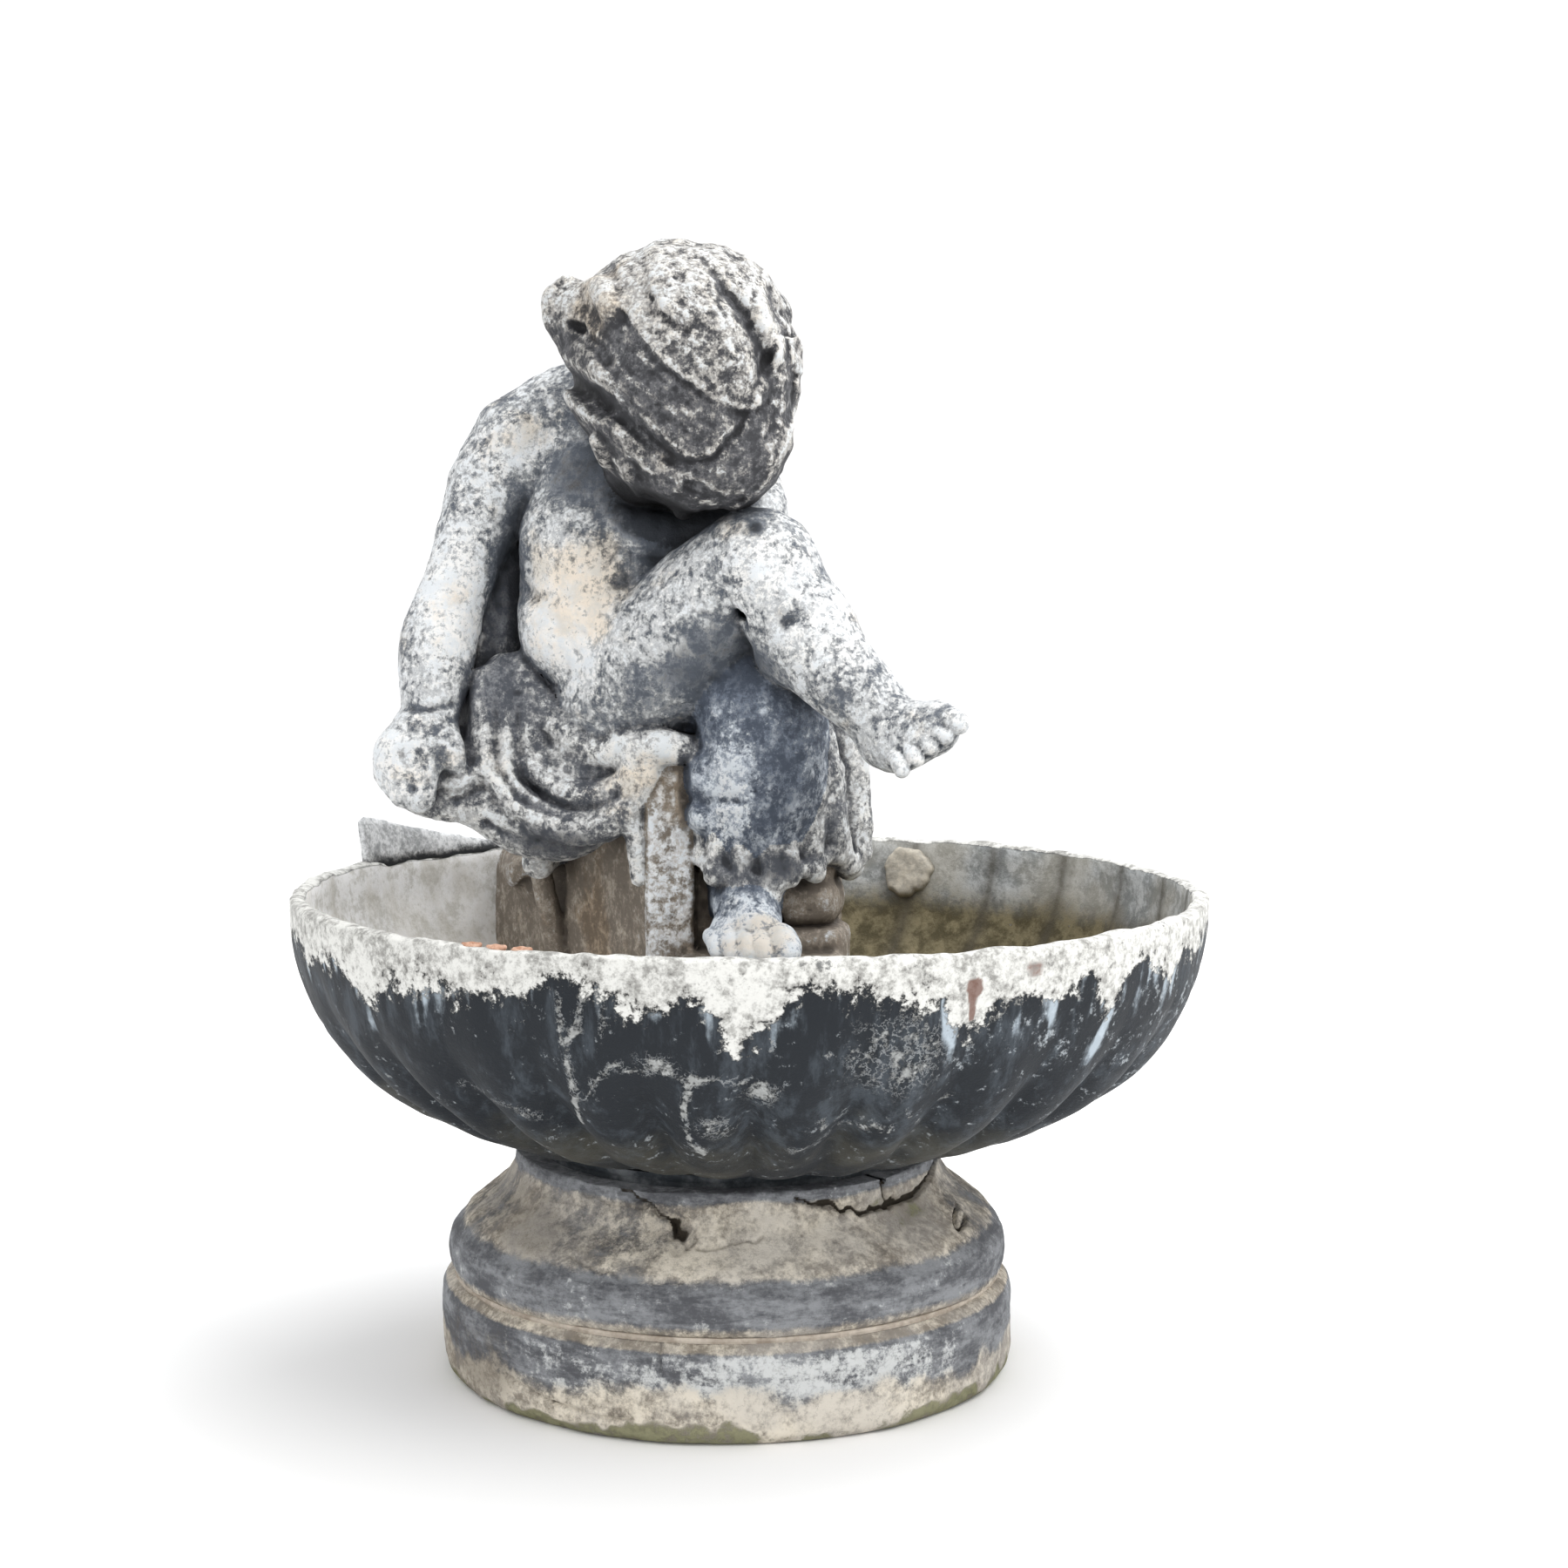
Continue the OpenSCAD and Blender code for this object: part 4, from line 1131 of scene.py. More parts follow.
def turned(node, outline, hidden, marks):
    """A turned ring lofted round its outline, outside first; its hidden inside is kept coarse."""
    around, step = ((800, 0.95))
    low, high = box_mm(node)
    centre = (low + high) / 2
    outside = evenly_spaced(outline, step)
    r, z = np.vstack([outside, hidden]).T
    z = z + low[2]
    a = np.arange(around) * 2 * math.pi / around
    grid = np.stack([centre[0] + r[:, None] * np.cos(a), centre[1] + r[:, None] * np.sin(a),
                     np.repeat(z[:, None], around, 1)], -1)
    normals = grid_normals(grid)
    values = marks(grid)
    bumps = 0.9 * grit.layers(grid, 38, 2) + 0.35 * grit.layers(grid + 23, 11, 2) + 0.2 * grit(grid + 51, 4)
    bumps = bumps - 2.6 * values.get("crack", 0) - 4.5 * values.get("pit", 0)
    keep_flat = smooth(grid[..., 2] - low[2], 0.0, 2.0) * smooth(high[2] - grid[..., 2], 0.0, 1.5)
    keep_flat[len(outside):] = 0
    grid = grid + normals * (bumps * keep_flat)[..., None]
    faces = ring_faces(len(r), around, closed=False)
    first, last = np.arange(around), (len(r) - 1) * around + np.arange(around)
    faces += np.stack([last, np.roll(last, -1), np.roll(first, -1), first], -1).tolist()
    painted = {k: np.broadcast_to(v, grid.shape[:2]).ravel() for k, v in values.items()}
    return painted_mesh(node + "_form", grid.reshape(-1, 3), faces, painted)


# Cracks in the socle's front, in mm across and mm above the ground: path, half width and strength.
DRUM_CRACKS = [([(-72, 12), (-52, 9), (-38, 10)], 1.1, 0.6), ([(-92, 18), (-70, 11)], 1.0, 0.5),
               ([(-26, 43), (-27, 37), (-26, 30)], 0.9, 0.7)]
NECK_CRACKS = [([(28, 93), (42, 91), (54, 86), (63, 86), (71, 87)], 1.6, 1.0),
               ([(66, 97), (67, 91), (71, 86), (80, 87), (88, 90), (92, 95)], 1.9, 1.0),
               ([(-44, 96), (-32, 92), (-26, 88), (-21, 84)], 1.5, 0.9),
               ([(-60, 92), (-46, 90), (-33, 90)], 1.2, 0.5), ([(-12, 77), (2, 79), (14, 80)], 1.0, 0.5),
               ([(-64, 70), (-40, 66), (-18, 66)], 0.9, 0.4)]
# The small open ring scratched into the neck's right side.
RING_MARK_AT = (100, 74)
RING_MARK_RADIUS = 2.6


def cracks(u, v, lines):
    """Sum of drawn lines."""
    return sum(strength * stroke(u, v, path, width) for path, width, strength in lines)


def drum_marks(grid):
    """Dust, moss, cracks, a stain and bleached metal on the lower drum."""
    x, z, front = grid[..., 0], grid[..., 2], grid[..., 1] < 0
    edge = 24 + 5 * grit(grid * (1, 1, 0.3), 40) + 5 * grit(grid + 44, 12) - 5 * smooth(x, 60, 110)
    return {
        "dust": smooth(edge - z, -7, 7) * 0.9 + 0.9 * smooth(z, 37, 40),
        "moss": smooth(9 + 6 * grit(grid + 14, 16) + 3 * grit(grid, 5) - z, -2, 6) * 0.9,
        "crack": front * cracks(x, z, DRUM_CRACKS),
        "stain": front * 0.8 * spot(x, z, (-105, 22), (34, 30)),
        "bleached": smooth(np.abs(x), 110, 70) * smooth(z, 40, 36) * (0.6 + 0.6 * smooth(x, -80, 20)),
    }


def neck_marks(grid):
    """Dust, cracks, the mossy hole, stains and bleached metal on the upper socle; the neck's top is kept
    bare as painted shade under the bowl.
    """
    x, z, front = grid[..., 0], grid[..., 2], grid[..., 1] < 0
    jag = 1.3 * grit(grid + 8, 4)
    u, v = x + jag, z + jag
    crack = cracks(u, v, NECK_CRACKS)
    hole = spot(u, v, (-19, 82), (8.5, 9))
    ring_x, ring_z = x - RING_MARK_AT[0], z - RING_MARK_AT[1]
    open_side = ring_x + ring_z < 1.6
    mark = smooth(np.abs(np.hypot(ring_x, ring_z) - RING_MARK_RADIUS), 1.1, 0.2) * open_side
    upper = smooth(z, 62, 70)
    patchy = 0.5 + 0.5 * grit.layers(grid + 60, 34, 2)
    return {
        "crack": front * np.clip(crack + mark, 0, 1),
        "pit": front * hole * (0.6 + 0.4 * grit(grid, 3)),
        # the neck's top is kept free of sand, leaving dark metal as painted shade under the bowl
        "dust": upper * np.clip(0.50 + 0.75 * patchy - 1.1 * smooth(z, 90, 96), 0, 1.1)
                + 0.8 * smooth(z, 52, 45),
        "moss": front * np.clip(0.8 * spot(u, v, (72, 84), (26, 13)) + 0.6 * spot(u, v, (-52, 90), (26, 9))
                                + 0.5 * spot(u, v, (96, 84), (14, 14)) + 0.9 * hole, 0, 1) * patchy,
        "stain": front * np.maximum(0.7 * spot(u, v, (-86, 78), (34, 26)),
                                    0.6 * spot(u, v, (-24, 82), (20, 14))),
        "bleached": 1.1 * upper * spot(u, v, (14, 76), (76, 20)),
    }


# Radius and height above the band's own foot.
DRUM_PROFILE = [(117, 0), (121, 0), (124, 2), (125.5, 5), (126, 12), (126, 34), (125, 38), (123, 40.5),
                (119, 43), (117, 43)]
DRUM_INSIDE = [(116, 43), (116, 20), (116, 0)]
NECK_PROFILE = [(116.5, 0), (118, 0), (122, 2.5), (123, 11), (121.5, 18), (117, 23), (115, 26), (108, 31),
                (99, 38), (94.5, 45), (93, 51), (93, 54)]
NECK_INSIDE = [(70, 54), (46, 54), (46, 59.4), (37, 59.4), (37, 46), (85, 46), (85, 45), (89, 36),
               (101, 27), (108, 20), (112, 11), (116, 0)]

# Each turned band: its outline, its hidden inside and its marks.
TURNED = {
    "socle_drum": (DRUM_PROFILE, DRUM_INSIDE, drum_marks),
    "socle_neck": (NECK_PROFILE, NECK_INSIDE, neck_marks),
}

# Angles round the rim in degrees, and the crest's height there as a share of its full height.
CREST_OUTLINE = [(78, 0.5), (86, 0.3), (94, 0.2), (99, 0.38), (109, 0.55), (119, 0.32), (124, 0.15),
                 (131, 0.16), (140, 0.46), (148, 0.76), (154, 1.0), (155.5, 0.93)]


def hinge_crest():
    """The shell's hinge: an ear at the back left that falls to a low wavy crest behind the figure."""
    rim = box_mm("basin_shell")[1][2]
    centre, radii = footprint("basin_shell")
    top = box_mm("hinge_crest")[1][2] - rim
    angles = np.arange(CREST_OUTLINE[0][0], CREST_OUTLINE[-1][0] + 0.1, 0.35)
    heights = np.interp(angles, *zip(*CREST_OUTLINE)) * top
    section = [(6.8, -2.5), (6.6, 0.25), (6.3, 0.6), (5.8, 0.85), (5.2, 0.97), (4.4, 1.0), (3.6, 0.95),
               (3.1, 0.75), (2.8, 0.4), (2.6, -2.5)]
    grid = []
    for a, h in zip(np.radians(angles), heights):
        lean = 4 * h / top
        row = []
        for inset, share in section:
            z = share if share < 0 else h * share
            rx, ry = radii - (inset - lean * max(share, 0))
            row.append((centre[0] + rx * math.cos(a), centre[1] + ry * math.sin(a), rim + z))
        grid.append(row)
    grid = np.array(grid)
    grid += 0.5 * np.stack([grit(grid, 11), grit(grid + 5, 11), 1.2 * grit(grid + 9, 8)], -1)
    count = len(section)
    faces = ring_faces(len(grid), count, closed=False)
    last = (len(grid) - 1) * count
    faces += [list(range(count - 1, -1, -1)), list(range(last, last + count))]
    # pale bloom thickest at the ear; its fall to dark metal towards the figure is painted shadow of the
    # cloth
    pale = 0.30 + 0.55 * smooth(np.degrees(np.arctan2(grid[..., 1], centre[0] - grid[..., 0])), 62, 34)
    pale = pale * smooth(grid[..., 2] - rim, -2, 4)
    return painted_mesh("hinge_crest_form", grid.reshape(-1, 3), faces, {"pale": pale.ravel()})


def patch_disc():
    """The rough round patch let on to the inside of the wall."""
    low, high = box_mm("interior_patch")
    at, size = (low + high) / 2, high - low
    bearing, lift = math.radians(24), math.radians(18)
    across = np.array([math.cos(bearing), -math.sin(bearing), 0])
    inward = np.array([-math.sin(bearing) * math.cos(lift), -math.cos(bearing) * math.cos(lift),
                       math.sin(lift)])
    up = np.cross(inward, across)
    radius = size[2] / 2 * 1.02
    rings, count = 9, 96
    points = []
    for k in range(rings + 1):
        share = k / rings
        for a in np.arange(count) * 2 * math.pi / count:
            edge = 1 + 0.05 * math.sin(3 * a + 1) + 0.035 * math.sin(7 * a) + 0.02 * math.sin(13 * a)
            r = radius * (1 - 0.9 * (1 - share)) * edge
            height = 1.6 * (1 - share ** 6) if k < rings else -3.0
            r = r if k < rings else radius * edge * 1.01
            points.append(at + r * (math.cos(a) * across + math.sin(a) * up) + height * inward)
    points = np.array(points)
    points += (0.35 * grit(points, 5) + 0.25 * grit(points + 3, 2.4))[:, None] * inward
    hub = [at + 1.7 * inward, at - 3.2 * inward]
    faces = [face[::-1] for face in ring_faces(rings + 1, count)]
    return painted_mesh("interior_patch_form", np.vstack([points, hub]), faces, {})


def rim_rings():
    """Rusty solder rings round three old plugs in the rim."""
    base = box_mm("rim_plugs")[0][2]
    centre, radii = footprint("basin_shell")
    rx, ry = radii - 6
    outline = [(3.6, -1.0), (4.1, 0.1), (4.0, 0.7), (3.5, 1.1), (2.9, 1.1), (2.4, 0.7), (2.0, 0.3),
               (1.0, 0.3)]
    count, points, faces = 40, [], []
    turn = np.arange(count) * 2 * math.pi / count
    for n, a in enumerate(np.radians((236, 239.5, 243))):
        at = np.array([centre[0] + rx * math.cos(a), centre[1] + ry * math.sin(a), base])
        start = len(points)
        for r, z in outline:
            wavy = r * (1 + 0.07 * np.sin(3 * turn + n) + 0.03 * np.sin(8 * turn))
            ring = np.stack([wavy * np.cos(turn), wavy * np.sin(turn), z + 0.15 * np.sin(5 * turn)], -1)
            points += (at + ring).tolist()
        points += [(at + (0, 0, -1.0)).tolist(), (at + (0, 0, 0.3)).tolist()]
        faces += [[start + k for k in face] for face in ring_faces(len(outline), count)]
    return painted_mesh("rim_plugs_form", points, faces, {})


# ---- paint ------------------------------------------------------------------------------------

class Paint:
    """Builds one procedural material out of noise and painted attributes."""

    def __init__(self, name):
        self.material = bpy.data.materials.new(name)
        self.material.use_nodes = True
        self.tree = self.material.node_tree
        self.shader = self.tree.nodes["Principled BSDF"]
        self.place = self.tree.nodes.new("ShaderNodeTexCoord").outputs["Object"]

    def node(self, kind, inputs=(), **settings):
        n = self.tree.nodes.new(kind)
        for key, value in settings.items():
            setattr(n, key, value)
        for key, value in dict(inputs).items():
            self.feed(n.inputs[key], value)
        return n

    def feed(self, socket, value):
        if isinstance(value, bpy.types.NodeSocket):
            self.tree.links.new(value, socket)
        else:
            socket.default_value = value

    def painted(self, name):
        return self.node("ShaderNodeAttribute", attribute_name=name).outputs["Fac"]

    def noise(self, size, detail=4.0, rough=0.6, seed=0.0, stretch=None):
        """Noise whose largest spots are about this many millimetres."""
        place = self.place
        if stretch or seed:
            place = self.node("ShaderNodeMapping", {"Vector": place, "Location": (seed, seed * 0.7, -seed),
                                                    "Scale": stretch or (1, 1, 1)}).outputs[0]
        return self.node("ShaderNodeTexNoise", {"Vector": place, "Scale": MM / size, "Detail": detail,
                                                "Roughness": rough}).outputs["Fac"]

    def math(self, operation, a, b=0.0, c=None):
        n = self.node("ShaderNodeMath", operation=operation)
        self.feed(n.inputs[0], a)
        self.feed(n.inputs[1], b)
        if c is not None:
            self.feed(n.inputs[2], c)
        return n.outputs[0]

    def total(self, *terms):
        """Sum of (socket, weight) pairs and plain numbers."""
        out = sum(t for t in terms if not isinstance(t, tuple))
        for socket, weight in (t for t in terms if isinstance(t, tuple)):
            out = self.math("MULTIPLY_ADD", socket, weight, out)
        return out

    def step(self, value, low, high):
        """0 below low, 1 above high, smooth between."""
        return self.node("ShaderNodeMapRange", {"Value": value, "From Min": low, "From Max": high},
                         interpolation_type="SMOOTHSTEP", clamp=True).outputs["Result"]

    def rise(self, low, high, *terms):
        """0 where the terms add up to less than low, 1 above high, smooth between."""
        return self.step(self.total(*terms), low, high)

    def mix(self, share, a, b, how="MIX"):
        n = self.node("ShaderNodeMix", data_type="RGBA", blend_type=how)
        self.feed(n.inputs[0], share)
        for socket, colour in ((n.inputs[6], a), (n.inputs[7], b)):
            self.feed(socket, colour if isinstance(colour, bpy.types.NodeSocket) else (*colour, 1.0))
        return n.outputs[2]

    def glaze(self, under, share, strength, tone, how="MIX"):
        """Lays a tone over a colour at a strength, where share says."""
        return self.mix(self.math("MULTIPLY", share, strength), under, tone, how)

    def finish(self, colour, rough, relief=None, depth=0.4, shine=0.3):
        """Wires colour, roughness and relief (mm) into the shader and returns the material."""
        self.feed(self.shader.inputs["Base Color"], colour)
        self.feed(self.shader.inputs["Roughness"], rough)
        self.feed(self.shader.inputs["Specular IOR Level"], shine)
        if relief is not None:
            bump = self.node("ShaderNodeBump", {"Height": relief, "Strength": 1.0, "Distance": depth / MM})
            self.tree.links.new(bump.outputs[0], self.shader.inputs["Normal"])
        return self.material


# Each cast finish: dark, middle, pale and chalky tones, how pale it is and how much ochre it has.
CAST = {
    "figure_lead": ((0.10, 0.115, 0.14), (0.34, 0.36, 0.39), (0.66, 0.67, 0.67), (0.90, 0.89, 0.87),
                    0.10, 0.10),
    "dark_figure_lead": ((0.07, 0.086, 0.118), (0.23, 0.27, 0.34), (0.48, 0.525, 0.59), (0.76, 0.78, 0.80),
                         0.03, -0.20),
    "hair_lead": ((0.042, 0.043, 0.048), (0.16, 0.162, 0.173), (0.49, 0.47, 0.44), (0.68, 0.65, 0.60),
                  0.02, 0.04),
    "drapery_lead": ((0.075, 0.082, 0.098), (0.28, 0.29, 0.31), (0.68, 0.68, 0.67), (0.90, 0.89, 0.86),
                     0.09, 0.06),
    "seat_lead": ((0.20, 0.17, 0.14), (0.48, 0.42, 0.35), (0.72, 0.74, 0.77), (0.90, 0.91, 0.92),
                  -0.14, 0.10),
}


def cast_paint(slot):
    """Weathered lead: dark metal, a broken grey bloom, chalky white on what stands out, ochre stains, and
    painted shade where the dark spots lie.
    """
    dark, middle, pale, chalky, bloom, ochre = CAST[slot]
    p = Paint(slot)
    broad = p.noise(34, 3, 0.55)
    blotch = p.noise(6 if slot == "hair_lead" else 9, 9, 0.75, 1.3)
    grain = p.noise(2.0 if slot == "hair_lead" else 2.7, 8, 0.78, 2.1)
    specks = p.noise(1.5, 5, 0.75, 6.1)
    scratch = p.noise(6, 8, 0.76, 3.7, (1.0, 1.0, 0.35))
    hollow, ridge, worn = p.painted("hollow"), p.painted("ridge"), p.painted("worn")
    paleness, warmth, darkness = p.painted("pale"), p.painted("warm"), p.painted("dark")
    # the dark spots, mostly painted shade, hold back the bloom and the chalk
    lean = p.total((paleness, 0.22), (darkness, -0.20), (ridge, 0.18), (hollow, -0.26), (worn, 0.20), bloom)
    body = p.mix(p.rise(0.92, 1.16, (blotch, 1.0), (grain, 0.7), (scratch, 0.4), (lean, 0.5)), dark, middle)
    thin = p.rise(1.28, 1.44, (blotch, 0.9), (grain, 0.8), (scratch, 0.5), (broad, 0.4), (lean, 1.0))
    half = tuple((a + b) / 2 for a, b in zip(middle, pale))
    colour = p.mix(p.math("MULTIPLY", thin, 0.88), body, p.mix(p.step(grain, 0.42, 0.56), half, pale))
    chalk = p.rise(1.20, 1.31, (grain, 1.0), (specks, 0.6), (blotch, 0.6), (lean, 0.75))
    colour = p.mix(chalk, colour, p.mix(p.step(blotch, 0.42, 0.60), chalky,
                                        p.mix(0.5, chalky, (0.62, 0.70, 0.78))))
    stained = p.rise(0.78, 1.02, (p.noise(24, 5, 0.6, 5.2), 1.0), (warmth, 0.30), (grain, 0.25), ochre)
    colour = p.glaze(colour, stained, 0.55, (0.88, 0.72, 0.53), "MULTIPLY")
    # painted shade: near-black where the dark spots lie, broken up by noise
    shaded = p.rise(1.20, 1.48, (darkness, 0.28), (blotch, 1.0), (grain, 0.9))
    colour = p.glaze(colour, shaded, 0.8, (0.16, 0.16, 0.17), "MULTIPLY")
    colour = p.glaze(colour, p.step(hollow, 0.15, 0.85), 0.50, (0.30, 0.28, 0.27), "MULTIPLY")
    colour = p.glaze(colour, p.step(worn, -0.10, -0.70), 0.60, (0.16, 0.15, 0.15), "MULTIPLY")
    relief = p.total((grain, 0.7), (blotch, 0.5), (thin, 0.25), (specks, 0.3))
    return p.finish(colour, 0.70, relief, 0.8)


def basin_paint():
    """Near-black patina, pale run-off and scars, with painted light on the outside's right, a lichen crust
    on the rim, and a silted inside with painted light on its left wall and painted shade on its right.
    """
    p = Paint("basin_lead")
    blotch = p.noise(12, 9, 0.72)
    grain = p.noise(4.0, 7, 0.75, 1.7)
    broad = p.noise(46, 3, 0.5, 0.4)
    flow = p.noise(12, 8, 0.72, 2.9, (1.5, 1.5, 0.3))
    threads = p.math("ABSOLUTE", p.total((p.noise(5, 6, 0.68, 6.3), 1.0), -0.5))
    crust, streak, scar = p.painted("crust"), p.painted("streak"), p.painted("scar")
    inside, depth, crease = p.painted("inside"), p.painted("depth"), p.painted("crease")
    rust, low, runs_and_light_right = p.painted("rust"), p.painted("low"), p.painted("runs_and_light_right")
    # the outside
    clouds = p.rise(0.72, 0.95, (flow, 1.0), (broad, 0.5))
    outer = p.mix(clouds, (0.0085, 0.012, 0.017), (0.046, 0.057, 0.070))
    tinge = p.rise(0.78, 1.05, (broad, 0.9), (low, 0.35), (blotch, 0.3))
    outer = p.glaze(outer, tinge, 0.6, (0.075, 0.070, 0.052))
    # pale flecks, more on the right as painted light
    flecks = p.rise(0.98, 1.10, (grain, 1.0), (blotch, 0.7), (streak, 0.2), (runs_and_light_right, 0.07),
                    (low, 0.03))
    outer = p.glaze(outer, flecks, 0.75, (0.46, 0.50, 0.53))
    lines = p.rise(0.010, 0.018, (threads, -1.0), (scar, 0.034), (grain, 0.02))
    outer = p.glaze(outer, lines, 0.45, (0.48, 0.50, 0.51))
    # pale runs, more on the right as painted light
    runs = p.rise(0.64, 0.96, (streak, 0.95), (flow, 0.55), (grain, 0.35), (runs_and_light_right, 0.14))
    outer = p.glaze(outer, runs, 0.8, (0.50, 0.58, 0.65))
    drawn = p.rise(1.10, 1.22, (scar, 0.30), (blotch, 0.9), (grain, 0.9))
    outer = p.glaze(outer, drawn, 0.62, (0.50, 0.51, 0.50))
    # the inside
    inner = p.mix(p.rise(0.55, 0.76, (blotch, 0.8), (grain, 0.5)), (0.30, 0.32, 0.33), (0.70, 0.73, 0.75))
    inner = p.glaze(inner, p.step(broad, 0.40, 0.62), 0.45, (0.62, 0.58, 0.48))
    # painted light: pale, chalky colour with washed stains for the lit left of the inside
    chalky = p.mix(p.rise(0.56, 0.78, (blotch, 0.8), (grain, 0.6)), (0.66, 0.65, 0.61), (1.0, 1.0, 1.0))
    washed = p.rise(0.62, 0.80, (p.noise(30, 5, 0.6, 8.1, (1.0, 1.0, 0.6)), 1.0), (grain, 0.3))
    chalky = p.glaze(chalky, washed, 0.35, (0.60, 0.56, 0.47))
    inner = p.mix(p.painted("painted_light_inside_left"), inner, chalky)
    # silt darkens the inside towards the bottom, and painted shade darkens it towards the right
    silt_and_shade = p.rise(0.62, 1.28, (depth, 1.0), (blotch, 0.5), (broad, 0.4))
    inner = p.mix(silt_and_shade, inner, p.mix(p.step(blotch, 0.42, 0.62), (0.085, 0.070, 0.034),
                                      (0.24, 0.205, 0.12)))
    inner = p.glaze(inner, crease, 0.7, (0.085, 0.075, 0.055))
    base = p.mix(inside, outer, inner)
    # lichen crust along the rim
    covered = p.rise(1.06, 1.15, (crust, 0.50), (blotch, 0.95), (grain, 0.75))
    tone = p.rise(0.56, 0.80, (grain, 0.8), (blotch, 0.6))
    lichen_colour = p.mix(tone, (0.28, 0.275, 0.26), (0.75, 0.75, 0.72))
    holes = p.rise(0.76, 0.66, (grain, 1.0), (p.noise(22, 4, 0.6, 7.0), 0.8))
    lichen_colour = p.glaze(lichen_colour, holes, 0.8, (0.13, 0.135, 0.135))
    colour = p.mix(covered, base, lichen_colour)
    rusty = p.rise(0.86, 1.08, (rust, 0.62), (blotch, 0.6), (grain, 0.5))
    colour = p.glaze(colour, rusty, 0.85, (0.15, 0.062, 0.040))
    relief = p.total((covered, 0.8), (drawn, 0.4), (grain, 0.6), (blotch, 0.6),
                     (p.noise(1.2, 3, 0.7), 0.25))
    return p.finish(colour, 0.60, relief, 0.75, 0.3)


def plain_basin_paint():
    """The basin's finish for its pieces that carry no painted attributes."""
    p = Paint("basin_lead_plain")
    cloud = p.step(p.noise(14, 5, 0.65), 0.4, 0.7)
    colour = p.mix(cloud, (0.02, 0.025, 0.03), (0.14, 0.15, 0.16))
    return p.finish(colour, 0.65, p.noise(3, 4, 0.6), 0.4)


def crest_paint():
    """Pale bloom over dark metal, thicker towards the ear and giving way to painted shadow of the cloth
    away from it, with a dark dirty foot.
    """
    p = Paint("crest_lead")
    pale, fine, blotch = p.painted("pale"), p.noise(2.6, 7, 0.75), p.noise(11, 8, 0.72)
    cover = p.rise(0.95, 1.45, (pale, 0.9), (blotch, 0.9), (fine, 0.7))
    bloom = p.mix(p.rise(0.58, 0.84, (fine, 0.8), (blotch, 0.6)), (0.34, 0.35, 0.36), (0.84, 0.85, 0.86))
    colour = p.mix(cover, (0.050, 0.054, 0.060), bloom)
    dirt = p.rise(0.78, 0.98, (p.noise(20, 5, 0.6, 3.3), 1.0), (fine, 0.4))
    colour = p.glaze(colour, dirt, 0.5, (0.34, 0.31, 0.26))
    return p.finish(colour, 0.68, p.total((fine, 0.6), (blotch, 0.5)), 0.6)


def socle_paint():
    """Grey metal bands under sandy dust, left bare and dark as painted shade at the neck's top, with
    stains, moss and dark cracks.
    """
    p = Paint("socle_lead")
    broad, blotch, grain = p.noise(44, 4, 0.6), p.noise(11, 9, 0.74, 1.1), p.noise(3.2, 8, 0.77, 2.2)
    smear = p.noise(12, 8, 0.74, 4.0, (0.45, 0.45, 1.7))
    dust, moss, crack = p.painted("dust"), p.painted("moss"), p.painted("crack")
    pit, stain, bleached = p.painted("pit"), p.painted("stain"), p.painted("bleached")
    metal = p.mix(p.rise(0.68, 0.92, (smear, 0.8), (grain, 0.4), (broad, 0.4)), (0.095, 0.098, 0.108),
                  (0.27, 0.28, 0.295))
    bloom = p.rise(1.04, 1.22, (blotch, 0.9), (grain, 0.6), (smear, 0.4), (bleached, 0.16))
    metal = p.glaze(metal, bloom, 0.8, (0.70, 0.715, 0.71))
    sand = p.mix(p.rise(0.62, 0.88, (blotch, 0.8), (grain, 0.6), (bleached, 0.10)),
                 (0.26, 0.225, 0.18), (0.80, 0.73, 0.61))
    sand = p.glaze(sand, p.step(broad, 0.42, 0.62), 0.4, (0.46, 0.44, 0.42))
    # sand cover; where it is taken away at the neck's top, the dark metal is painted shade
    dust_and_shade_cover = p.rise(0.88, 1.20, (dust, 0.62), (blotch, 0.7), (grain, 0.4), (broad, 0.3))
    colour = p.mix(p.math("MULTIPLY", dust_and_shade_cover, 0.9), metal, sand)
    brown = p.rise(0.86, 1.16, (stain, 0.40), (blotch, 0.8), (grain, 0.5))
    colour = p.glaze(colour, brown, 0.65, (0.10, 0.082, 0.060))
    green = p.rise(1.02, 1.22, (moss, 0.5), (blotch, 0.9), (grain, 0.6))
    colour = p.glaze(colour, green, 0.8, p.mix(grain, (0.075, 0.085, 0.025), (0.22, 0.22, 0.09)))
    threads = p.math("ABSOLUTE", p.total((p.noise(15, 7, 0.68, 8.8), 1.0), -0.5))
    hairline = p.math("MULTIPLY", p.step(threads, 0.006, 0.002), p.step(broad, 0.5, 0.6))
    colour = p.glaze(colour, hairline, 0.4, (0.06, 0.05, 0.04))
    split = p.rise(0.80, 1.06, (crack, 0.8), (pit, 1.1), (grain, 0.6))
    colour = p.mix(split, colour, (0.035, 0.028, 0.020))
    relief = p.total((grain, 0.6), (blotch, 0.8), (dust_and_shade_cover, 0.3), (green, 0.4), (p.noise(1.1, 3, 0.7), 0.3))
    return p.finish(colour, 0.78, relief, 0.75, 0.2)


def simple_paint(name, dark, pale, size, rough, relief):
    """Two tones mottled together."""
    p = Paint(name)
    fine = p.noise(size / 4, 4, 0.65, 1.9)
    share = p.rise(0.38, 0.72, (p.noise(size, 5, 0.6), 0.7), (fine, 0.4))
    return p.finish(p.mix(share, dark, pale), rough, fine, relief)


# ---- painted spots on the figure ------------------------------------------------------------------

